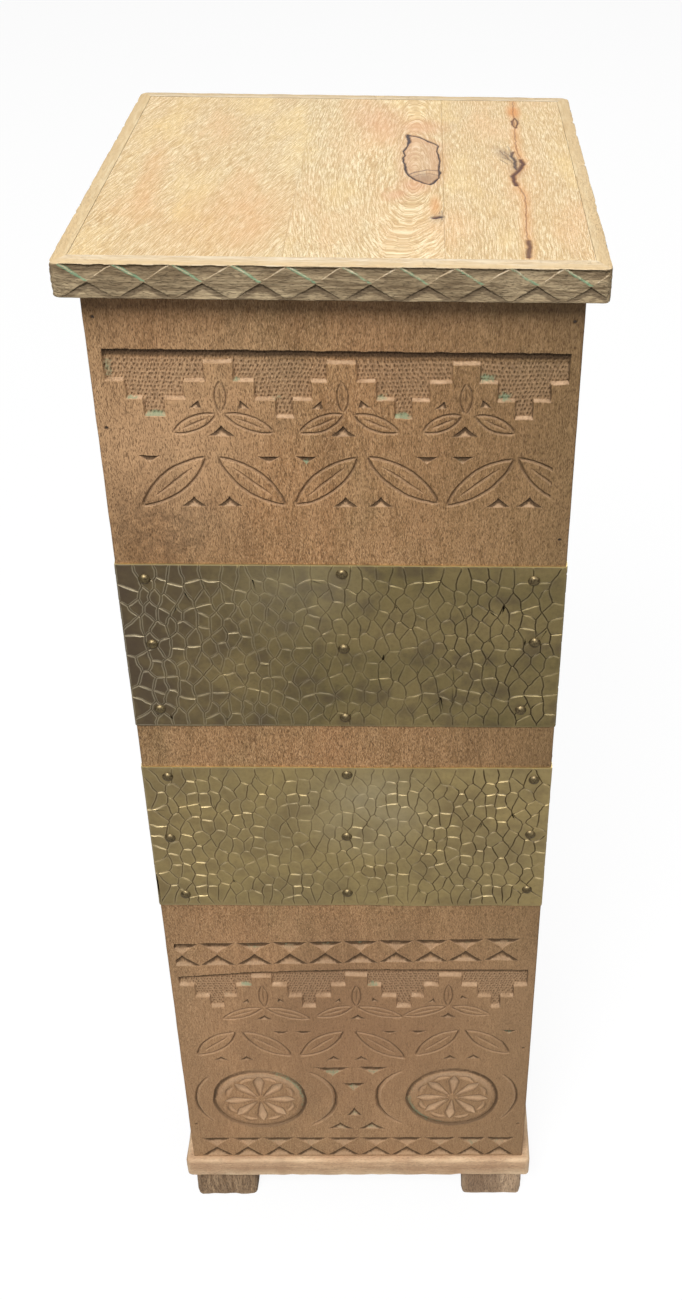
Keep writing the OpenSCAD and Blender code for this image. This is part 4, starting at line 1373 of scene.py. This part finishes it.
class Nodes:
    def __init__(self, tree):
        self.tree = tree

    def wire(self, value, socket):
        if isinstance(value, bpy.types.NodeSocket):
            self.tree.links.new(value, socket)
        else:
            socket.default_value = value

    def put(self, kind, values=(), **settings):
        node = self.tree.nodes.new("ShaderNode" + kind)
        for key, value in settings.items():
            setattr(node, key, value)
        for key, value in dict(values).items():
            self.wire(value, node.inputs[key])
        return node

    def maths(self, operation, a, b=0.5, clamp=False):
        return self.put("Math", {0: a, 1: b}, operation=operation, use_clamp=clamp).outputs[0]

    def times(self, a, b):
        return self.maths("MULTIPLY", a, b)

    def plus(self, a, b):
        return self.maths("ADD", a, b)

    def vector(self, operation, a, b, key=1):
        return self.put("VectorMath", {0: a, key: b}, operation=operation).outputs[0]

    def distance(self, point, place=None):
        ends = {0: place or self.where, 1: point}
        return self.put("VectorMath", ends, operation="DISTANCE").outputs["Value"]

    def split(self, vector):
        return self.put("SeparateXYZ", {0: vector}).outputs

    def join(self, x, y, z):
        return self.put("CombineXYZ", {0: x, 1: y, 2: z}).outputs[0]

    def blend(self, share, a, b):
        return self.put("Mix", {0: share, 6: a, 7: b}, data_type="RGBA").outputs[2]

    def spread(self, value, low, high, to_low=0.0, to_high=1.0):
        limits = {"Value": value, 1: low, 2: high, 3: to_low, 4: to_high}
        return self.put("MapRange", limits).outputs[0]

    def speckle(self, scale, stretch=(1, 1, 1), detail=3, rough=0.55, place=None):
        moved = self.put("Mapping", {"Vector": place or self.where, "Scale": stretch})
        return self.put("TexNoise", {
            "Vector": moved.outputs[0], "Scale": scale, "Detail": detail, "Roughness": rough,
        }).outputs[0]

    def field(self, name):
        return self.put("Attribute", attribute_name=name).outputs["Fac"]


# %% [markdown]
# ## Shared effects
#
# Several finishes need the same things: wood grain, dirt and painted shade in cuts, wear and
# painted light on ledges, and flakes of old paint. Each is a node group with named inputs.
# Grain is noise that is drawn out along the wood: broad figure, finer streaks, and thin dark
# pores.

# %% A node group in the making
class Group(Nodes):
    """An input is given as a kind of socket, or as the value that a number starts from."""

    def __init__(self, name, inputs, outputs):
        super().__init__(bpy.data.node_groups.new(name, "ShaderNodeTree"))
        new_socket = self.tree.interface.new_socket
        for label, given in inputs.items():
            kind = given if isinstance(given, str) else "Float"
            socket = new_socket(name=label, in_out="INPUT", socket_type="NodeSocket" + kind)
            if kind != given:
                socket.default_value = given
        for label, kind in outputs.items():
            new_socket(name=label, in_out="OUTPUT", socket_type="NodeSocket" + kind)
        self.given = self.tree.nodes.new("NodeGroupInput").outputs
        self.out = self.tree.nodes.new("NodeGroupOutput").inputs
        self.where = self.given["Vector"]

    def put_out(self, **values):
        for key, value in values.items():
            self.wire(value, self.out[key])


# %% Grain along the z axis of its vector
group = Group(
    "grain", {"Vector": "Vector", "Fineness": 1.0, "Wander": 0.004, "Shortness": 1.0},
    {"Figure": "Float", "Streaks": "Float", "Pores": "Float", "Height": "Float"},
)
bend = group.put("TexNoise", {"Vector": group.where, "Scale": 9.0, "Detail": 2.0}).outputs[1]
centred = group.vector("SUBTRACT", bend, (0.5, 0.5, 0.5))
pushed = group.vector("SCALE", centred, group.given["Wander"], "Scale")
bent = group.vector("ADD", group.where, pushed)
drawn = group.vector("MULTIPLY", bent, group.join(1.0, 1.0, group.given["Shortness"]))
fine = group.vector("SCALE", drawn, group.given["Fineness"], "Scale")
streaks = group.speckle(620.0, (1, 1, 0.1), 4, 0.65, fine)
pores = group.spread(group.speckle(2200.0, (1, 1, 0.2), 2, 0.5, fine), 0.52, 0.66)
group.put_out(
    Figure=group.speckle(75.0, (1, 1, 0.16), 3, place=fine), Streaks=streaks, Pores=pores,
    Height=group.maths("SUBTRACT", streaks, group.times(pores, 0.5)),
)
grain_group = group.tree

# %% Dirt and painted shade, wear and painted light, and paint in and round a cut
group = Group(
    "cuts",
    {"Color": "Color", "Vector": "Vector", "Cut": 0.0, "Ledge": 0.0, "Paint": 0.0,
     "Dirt And Shade Color": "Color", "Bare And Lit Color": "Color", "Paint Color": "Color"},
    {"Color": "Color"},
)
given = group.given
broken = group.speckle(420.0, detail=4, rough=0.7)
bare_and_lit = group.times(given["Ledge"], group.spread(broken, 0.3, 0.6, 0.4, 0.8))
mask = group.maths("SUBTRACT", given["Paint"], group.spread(broken, 0.35, 0.65, 0.0, 0.5))
mask = group.spread(mask, 0.0, 0.45, 0.0, 0.6)
colour = given["Color"]
for name, share in (("Dirt And Shade", group.times(given["Cut"], 0.85)), ("Bare And Lit", bare_and_lit), ("Paint", mask)):
    colour = group.blend(share, colour, given[name + " Color"])
group.put_out(Color=colour)
cut_group = group.tree


# %% A finish in the making
class Finish(Nodes):
    """A material, with the place on the object and the colour that is mixed so far."""

    def __init__(self, name):
        self.material = bpy.data.materials.new(name)
        self.material.use_nodes = True
        super().__init__(self.material.node_tree)
        self.shader = self.tree.nodes["Principled BSDF"]
        self.where = self.put("TexCoord").outputs["Object"]

    def along(self, order):
        """The place with its axes in another order, so that the grain runs where it should."""
        axes = self.split(self.where)
        return self.join(*(axes["xyz".index(axis)] for axis in order))

    def grain(self, place, fineness, wander, shortness=1.0):
        values = {"Vector": place, "Fineness": fineness, "Wander": wander, "Shortness": shortness}
        node = self.put("Group", values, node_tree=grain_group)
        self.figure, self.streaks, self.pores, self.height = node.outputs

    def start(self, mask, low, high, dark, light):
        self.colour = self.blend(self.spread(mask, low, high), shade(*dark), shade(*light))

    def layers(self, *layers):
        """Each is a colour, a mask and, where the mask is spread first, its limits."""
        for rgb, mask, *limits in layers:
            share = self.spread(mask, *limits) if limits else mask
            self.colour = self.blend(share, self.colour, shade(*rgb))

    # dirt and painted shade from the cut field, wear and painted light from the ledge field, and old
    # paint
    def cuts(self, dirt, bare_and_lit, paint):
        values = {"Color": self.colour, "Vector": self.where, "Dirt And Shade Color": shade(*dirt),
                  "Bare And Lit Color": shade(*bare_and_lit), "Paint Color": shade(*paint)}
        for key in ("Cut", "Ledge", "Paint"):
            values[key] = self.field(key.lower())
        self.colour = self.put("Group", values, node_tree=cut_group).outputs[0]

    def end(self, rough, height, distance, strength, **constants):
        """Wires the colour, the roughness and a bump, and sets the constants."""
        bump = self.put("Bump", {"Height": height, "Distance": distance, "Strength": strength})
        values = {"Base Color": self.colour, "Roughness": rough, "Normal": bump.outputs[0]}
        for key, value in {**values, **constants}.items():
            self.wire(value, self.shader.inputs[key.replace("_", " ")])


# %% [markdown]
# ## The old hardwood of the body
#
# Waxed once, now dry: a warm tan with fine upright pores. The board at the right is greyer
# and coarser, and a dark bloom sits at the left over the upper band. The shade under the
# overhang of the top is painted in as a darker band along the top of the panels.

# %% Body wood: figure, clouds, streaks and grit
body = Finish("body_wood")
x_axis, _, z_axis = body.split(body.where)
body.grain(body.where, 1.0, 0.012)
cloud = body.speckle(13.0, (1, 1, 0.6), 5, 0.62)
smudge = body.speckle(44.0, (1, 1, 0.3), 4, 0.66)
flecks = body.speckle(2000.0, (1, 1, 0.25), 2, 0.6)
grit = body.speckle(850.0, (1, 1, 0.35), 3, 0.7)
body.start(body.figure, 0.3, 0.7, (140, 107, 70), (166, 131, 90))
body.layers(
    ((176, 130, 88), cloud, 0.42, 0.62, 0, 0.65),
    ((126, 104, 70), cloud, 0.46, 0.34, 0, 0.55),
    ((116, 84, 50), body.streaks, 0.34, 0.54, 0.55, 0),
    ((200, 158, 114), body.streaks, 0.52, 0.7, 0, 0.3),
    ((122, 90, 58), smudge, 0.5, 0.7, 0, 0.5),
    ((190, 148, 106), smudge, 0.47, 0.32, 0, 0.4),
    ((208, 170, 128), flecks, 0.54, 0.68, 0, 0.55),
    ((110, 77, 46), flecks, 0.46, 0.34, 0, 0.32),
    ((106, 78, 48), grit, 0.47, 0.32, 0, 0.5),
    ((196, 158, 116), grit, 0.53, 0.68, 0, 0.45),
)

# %% Body wood: where it is greyer, paler or darker
drift = body.spread(cloud, 0.3, 0.7, -0.03, 0.03)
right = body.spread(body.plus(x_axis, drift), 0.02, 0.14)
rim = body.spread(body.plus(body.maths("ABSOLUTE", x_axis, 0), drift), 0.125, 0.155)
pale_place = body.plus(body.distance((-0.115, -0.15, 0.815)), drift)
dark_place = body.plus(body.distance((0.0, -0.15, 0.24)), drift)
# painted shade: darker under the overhang of the top
shade_under_top = body.spread(body.plus(z_axis, body.times(drift, 0.3)), 0.872, 0.916)
lower = body.spread(z_axis, 0.42, 0.3)
ragged = body.spread(body.speckle(150.0, detail=5, rough=0.75), 0.4, 0.6)
bloom = body.times(body.spread(body.distance((-0.118, -0.15, 0.752)), 0.055, 0.012), ragged)
body.layers(
    ((112, 92, 60), body.times(right, 0.5)),
    ((112, 90, 60), body.times(rim, 0.35)),
    ((198, 158, 118), pale_place, 0.1, 0.02, 0, 0.55),
    ((116, 80, 50), dark_place, 0.13, 0.03, 0, 0.65),
    # painted shade under the top
    ((88, 66, 44), body.times(shade_under_top, 0.4)),
    ((178, 141, 106), body.times(lower, 0.4)),
    ((84, 62, 42), body.times(bloom, 0.55)),
    ((78, 52, 30), body.times(body.pores, body.spread(lower, 0, 1, 0.7, 0.34))),
)
# the cut colours: dirt and painted shade, wear and painted light, and green paint
body.cuts((58, 40, 24), (206, 172, 138), (112, 146, 116))
body.layers(((120, 92, 62), body.times(body.field("edge"), 0.4)))
rough = body.spread(body.streaks, 0.3, 0.7, 0.82, 0.65)
body.end(rough, body.height, 0.0005, 0.8, Specular_IOR_Level=0.3)

# %% [markdown]
# ## The pale top
#
# Sanded and waxed: honey and cream. The growth rings come with the mesh, as a number that
# rises from ring to ring, so the arches bend round the knots. Knots, stains and cracks are
# painted over them from their own fields.

# %% Top wood: boards and rings
top = Finish("top_wood")
x_axis, y_axis, z_axis = top.split(top.where)
rings = top.field("rings")
top.grain(top.join(top.times(rings, 0.009), z_axis, y_axis), 2.5, 0.0012, 0.6)
bands = top.spread(top.maths("SINE", top.times(rings, 6.2832)), -1, 1)
pale = top.put("ValToRGB", {0: top.spread(x_axis, -0.09, 0.06)})
pale.color_ramp.elements[0].color = (0, 0, 0, 1)
pale.color_ramp.elements[1].color = (0, 0, 0, 1)
pale.color_ramp.elements.new(0.42).color = (1, 1, 1, 1)
wobble = top.plus(top.times(top.figure, 2.6), top.times(top.streaks, 1.4))
late = top.maths("FRACT", top.plus(top.times(rings, 3.4), wobble))
patchy = top.spread(top.speckle(60.0, (1, 0.5, 1), 3), 0.35, 0.65, 0.2, 0.6)
top.start(top.figure, 0.3, 0.7, (217, 190, 143), (226, 205, 164))
top.layers(
    ((222, 208, 170), top.times(pale.outputs[0], 0.6)),
    ((196, 162, 110), top.times(bands, 0.1)),
    ((178, 142, 94), top.times(top.spread(late, 0.45, 0.97), patchy)),
    ((178, 142, 92), top.streaks, 0.42, 0.54, 0.62, 0),
    ((246, 232, 198), top.streaks, 0.52, 0.63, 0, 0.62),
)

# %% Top wood: stains, knots and cracks
tint = top.speckle(22.0, (1, 0.35, 1), 4, 0.6)
top.layers(
    ((224, 180, 134), tint, 0.5, 0.68, 0, 0.4),
    ((232, 204, 142), tint, 0.46, 0.32, 0, 0.4),
    ((142, 104, 64), top.times(top.pores, 0.6)),
    ((200, 144, 106), top.times(top.field("pink"), 0.7)),
    ((204, 140, 80), top.times(top.field("orange"), 0.7)),
    ((184, 142, 112), top.times(top.field("inside"), 0.4)),
    ((140, 112, 88), top.times(top.field("grey"), 0.5)),
)
burnt = top.spread(top.field("orange"), 0.0, 0.5)
sooty = top.blend(burnt, shade(60, 46, 46), shade(86, 50, 34))
top.colour = top.blend(top.field("dark"), top.colour, sooty)
top.layers(((150, 116, 78), top.times(top.field("edge"), 0.3)))
rough = top.spread(top.streaks, 0.3, 0.7, 0.62, 0.5)
top.end(rough, top.height, 0.0003, 0.7, Specular_IOR_Level=0.3)


# %% [markdown]
# ## The weathered rails
#
# Their fronts were left rough and went grey, with green paint in the cuts, but the tops
# were sanded with the boards. The normal tells the two apart.

# %% Rail wood
def rail_material(name, order, sanded_dark, sanded_light):
    rail = Finish(name)
    rail.grain(rail.along(order), 0.8, 0.006)
    rail.start(rail.figure, 0.35, 0.65, (136, 117, 88), (180, 160, 126))
    rail.layers(
        ((92, 74, 52), rail.streaks, 0.38, 0.6, 0.75, 0),
        ((72, 58, 42), rail.times(rail.pores, 0.5)),
    )
    # dirt and painted shadow in the chips, wear and painted light on their floors, and green paint
    rail.cuts((84, 68, 50), (190, 168, 132), (104, 158, 124))
    weathered = rail.colour
    rail.start(rail.figure, 0.35, 0.65, sanded_dark, sanded_light)
    rail.layers(((178, 144, 100), rail.streaks, 0.38, 0.62, 0.55, 0))
    up = rail.split(rail.put("NewGeometry").outputs["Normal"])[2]
    rail.colour = rail.blend(rail.spread(up, 0.55, 0.85), weathered, rail.colour)
    rail.layers(((204, 178, 136), rail.times(rail.field("edge"), rail.spread(up, 0.05, 0.5))))
    rough = rail.spread(rail.streaks, 0.3, 0.7, 0.85, 0.65)
    rail.end(rough, rail.height, 0.0006, 0.9, Specular_IOR_Level=0.3)
    return rail


rail_long = rail_material("rail_wood_x", "yzx", (212, 195, 164), (226, 214, 190))
rail_deep = rail_material("rail_wood_y", "xzy", (208, 182, 138), (222, 204, 166))


# %% [markdown]
# ## Base plate, feet and hidden wood
#
# The same recipe with other colours: a light worn plate whose grain runs across, dark feet
# whose grain stands upright, darker at the left than at the right, and pale cleats.

# %% Simple wood finishes
def simple_wood(name, order, light, dark, pore, worn, fineness=0.9, bump=0.0005):
    wood = Finish(name)
    wood.grain(wood.along(order), fineness, 0.008)
    wood.start(wood.figure, 0.32, 0.66, dark, light)
    wood.layers(
        (dark, wood.streaks, 0.38, 0.6, 0.7, 0),
        (pore, wood.times(wood.pores, 0.5)),
        (pore, wood.speckle(34.0, detail=4, rough=0.65), 0.5, 0.72, 0, 0.4),
        (worn, wood.field("edge")),
    )
    wood.end(wood.spread(wood.streaks, 0.3, 0.7, 0.8, 0.6), wood.height, bump, 0.8)
    return wood


plate = simple_wood(
    "plate_wood", "yzx", (214, 178, 140), (176, 138, 104), (124, 94, 68), (232, 204, 166))
foot_left = simple_wood(
    "foot_wood_left", "xyz", (178, 148, 114), (110, 84, 58), (54, 38, 26), (158, 131, 100),
    0.6, 0.001)
foot_right = simple_wood(
    "foot_wood_right", "xyz", (212, 181, 147), (142, 114, 87), (72, 54, 40), (194, 165, 133),
    0.6, 0.001)
cleat = simple_wood(
    "cleat_wood", "yzx", (206, 172, 122), (176, 140, 94), (130, 98, 62), (206, 172, 122))

# %% [markdown]
# ## Aged brass
#
# A thin sheet with a dull patina: olive and brown clouds over gold. The upright grooves
# keep their dirt, and the level ones carry a painted highlight. Their shoulders are painted
# brighter, for rubbing and for painted reflection, and the top rim has a painted highlight.

# %% Brass sheet
FRONT_LEFT_EDGE = (-0.15, -0.15, 0)


def brass_material(name, gold, olive, plum, plum_side, dirt, glint, pale, pale_at):
    """plum_side, glint and pale say how strong the dark corner, the painted highlights on level
    lines and the bloom are.
    """
    brass = Finish(name)
    clouds = brass.speckle(14.0, (1, 1, 1.2), 4, 0.6)
    fine = brass.speckle(300.0, detail=4, rough=0.7)
    patches = brass.speckle(70.0, detail=1)
    groove = brass.maths("POWER", brass.field("groove"), 1.1, True)
    level = brass.field("level")
    # the edge at the front left has the darkest patina
    flat = brass.put("Mapping", {"Vector": brass.where, "Scale": (1, 1, 0)}).outputs[0]
    from_edge = brass.distance(FRONT_LEFT_EDGE, flat)
    side = brass.plus(from_edge, brass.spread(clouds, 0.3, 0.7, -0.04, 0.04))
    side = brass.times(brass.spread(side, 0.13, 0.0), plum_side)
    bloom = brass.times(
        brass.spread(brass.distance(pale_at), 0.06, 0.01),
        brass.spread(clouds, 0.35, 0.6, 0.1, pale))
    upright = brass.times(groove, brass.spread(level, 0.2, 0.9, 0.95, 0.1))
    x_axis = brass.split(brass.where)[0]
    upright = brass.times(upright, brass.spread(x_axis, -0.05, 0.09, 0.9 - 0.5 * plum_side, 1.0))
    glints = brass.spread(patches, 0.4, 0.55, 0.35 * glint, glint)
    # painted highlight on the lines that lie level, where light from above would catch them
    glint_lines = brass.times(brass.times(groove, level), glints)
    # the shoulders are painted paler, for rubbing and for painted reflection, most at the dark
    # corner
    rubbed_and_lit = brass.times(brass.field("shoulder"), brass.plus(brass.times(side, 0.3), 0.06))
    brass.start(clouds, 0.34, 0.64, olive, gold)
    brass.layers(
        (plum, side),
        (plum, fine, 0.45, 0.7, 0, 0.3),
        (plum, patches, 0.5, 0.7, 0, 0.45),
        (gold, patches, 0.46, 0.3, 0, 0.3),
        ((210, 198, 166), bloom),
        (dirt, upright),
        ((250, 238, 204), brass.maths("MAXIMUM", glint_lines, rubbed_and_lit)),
        # painted highlight along the top edge
        ((250, 226, 160), brass.field("rim"), 0.4, 0.9, 0, 0.8),
    )
    rough = brass.spread(fine, 0.3, 0.7, 0.4, 0.55)
    rough = brass.plus(rough, brass.times(groove, 0.6 - 0.4 * glint))
    brass.end(rough, fine, 0.00012, 0.5, Metallic=1.0)
    return brass


brass_up = brass_material(
    "brass_upper", (164, 145, 100), (138, 124, 84), (106, 91, 76), 0.85, (56, 44, 28),
    0.45, 0.2, (-0.03, -0.15, 0.71))
brass_low = brass_material(
    "brass_lower", (192, 170, 118), (172, 153, 110), (148, 128, 92), 0.3, (66, 50, 28),
    0.65, 0.49, (0.015, -0.15, 0.5))


# %% Nails and steel
def plain_metal(name, scale, detail, rough, limits, dark, light, metallic, roughness, bump):
    metal = Finish(name)
    spots = metal.speckle(scale, detail=detail, rough=rough)
    metal.start(spots, *limits, dark, light)
    metal.end(metal.spread(spots, 0.3, 0.7, *roughness), spots, bump, 0.4, Metallic=metallic)
    return metal


nail_brass = plain_metal(
    "nail_brass", 900.0, 4, 0.7, (0.35, 0.65), (74, 62, 44), (136, 120, 86),
    0.9, (0.3, 0.5), 0.00015)
dark_steel = plain_metal(
    "dark_steel", 1500.0, 3, 0.55, (0.4, 0.65), (64, 54, 46), (104, 92, 82),
    0.8, (0.4, 0.7), 0.0001)

# %% Give every piece its finish
for finish, names in (
    (body, [f"front_slab_{i}" for i in range(len(SLABS) - 1)]
     + ["right_panel_face", "left_panel_face", "back_panel_face"]),
    (top, ["plank_left", "plank_middle", "plank_right"]),
    (rail_long, ["rail_front", "rail_back"]),
    (rail_deep, ["rail_left", "rail_right"]),
    (plate, ["plate_block"]),
    (foot_left, ["block_front_left", "block_back_left"]),
    (foot_right, ["block_front_right", "block_back_right"]),
    (brass_up, ["brass_upper_" + label for label in (*SIDES, "lap")]),
    (brass_low, ["brass_lower_" + label for label in (*SIDES, "lap")]),
    (nail_brass, ["dome_nails_upper", "dome_nails_lower"]),
    (cleat, ["front_cleat", "back_cleat"]),
    (dark_steel, ["front_pins", "back_pins", "rail_pins",
                  "cleat_screws", "base_screws_set", "foot_screws_set"]),
):
    for name in names:
        piece = bpy.data.objects[name]
        piece.data.materials.clear()
        piece.data.materials.append(finish.material)

# %% [markdown]
# ## Floor, light and camera
#
# A plain pale floor, a broad soft lamp above the front, weak ones beside and behind, and a
# dim world that is lighter above, as in a room under a white ceiling. White is what the
# camera alone sees of the world, and most of what it sees of the floor. So the carving is
# lit from above and keeps its shadows, and the floor keeps the shadow of the table.

# %% The floor
deselect()
bpy.ops.mesh.primitive_grid_add(x_subdivisions=8, y_subdivisions=8, size=24, location=(0, 0, 0))
floor = bpy.context.object
floor.name = "floor"
floor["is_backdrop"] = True
paint = Finish("floor_paint")
mottled = paint.blend(paint.speckle(3.0), shade(164, 164, 164), shade(172, 172, 172))
for key, value in (("Base Color", mottled), ("Roughness", 0.9), ("Specular IOR Level", 0.0)):
    paint.wire(value, paint.shader.inputs[key])
path = paint.put("LightPath")
pale = paint.put("BsdfDiffuse", {"Color": shade(246, 246, 246)})
glow = paint.put("Emission", {"Color": (1, 1, 1, 1), "Strength": 1.0})
seen = paint.put("MixShader", {0: 0.9, 1: pale.outputs[0], 2: glow.outputs[0]})
mixed = paint.put("MixShader", {
    0: path.outputs["Is Camera Ray"], 1: paint.shader.outputs[0], 2: seen.outputs[0],
})
paint.wire(mixed.outputs[0], paint.tree.nodes["Material Output"].inputs["Surface"])
floor.data.materials.append(paint.material)

# %% The world
world = bpy.data.worlds.new("studio")
bpy.context.scene.world = world
world.use_nodes = True
sky = Nodes(world.node_tree)
sky.tree.nodes.clear()
rays = sky.put("LightPath").outputs
seen = sky.maths("MAXIMUM", rays["Is Camera Ray"], rays["Is Transmission Ray"])
height = sky.split(sky.put("TexCoord").outputs["Generated"])[2]
soft = sky.spread(height, 0.0, 0.9, 0.16, 0.5)
mirrored = sky.spread(height, 0.1, 0.7, 0.2, 1.0)
strength = sky.put("Mix", {0: rays["Is Glossy Ray"], 2: soft, 3: mirrored}).outputs[0]
dim = sky.put("Background", {"Color": (1, 1, 1, 1), "Strength": strength})
white = sky.put("Background", {"Color": (1, 1, 1, 1), "Strength": 1.0})
both = sky.put("MixShader", {0: seen, 1: dim.outputs[0], 2: white.outputs[0]})
sky.put("OutputWorld", {"Surface": both.outputs[0]})


# %% The lamps
def lamp(name, place, aim, size, power):
    data = bpy.data.lights.new(name, "AREA")
    data.shape = "RECTANGLE"
    data.size, data.size_y = size
    data.energy = power
    made = add_object(name, data)
    made.location = place
    made.rotation_euler = (Vector(aim) - Vector(place)).to_track_quat("-Z", "Y").to_euler()


lamp("key", (-0.6, -3.0, 4.6), (0, 0, 0.5), (2.3, 1.6), 270)
lamp("fill", (2.4, -3.2, 2.0), (0, 0, 0.4), (1.6, 1.6), 12)
lamp("behind", (0.5, 3.0, 3.4), (0, 0, 0.6), (1.8, 1.4), 40)

# %% The camera, at the photograph's place
camera_data = bpy.data.cameras.new("camera")
camera = add_object("camera", camera_data)
turn = (
    Matrix.Rotation(-0.02455472, 4, "Z")
    @ Matrix.Rotation(-0.57315362, 4, "X")
    @ Matrix.Rotation(-0.02101307, 4, "Y")
    @ Matrix.Rotation(math.radians(90), 4, "X")
)
camera.matrix_world = Matrix.Translation((0.05218, -0.92974, 1.27461)) @ turn
# the photograph is only a part of what its camera saw, so the view is shifted
camera_data.sensor_fit = "VERTICAL"
camera_data.sensor_height = 36
camera_data.lens = 39.71
camera_data.shift_x = (341 - 450) / 1300
camera_data.shift_y = (505 - 650) / 1300
camera_data.clip_start = 0.01
bpy.context.scene.camera = camera
bpy.context.scene.view_settings.view_transform = "Standard"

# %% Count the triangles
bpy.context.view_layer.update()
faces = sum(len(p.vertices) - 2 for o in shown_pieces() if o.type == "MESH" for p in o.data.polygons)
print("triangles", faces)
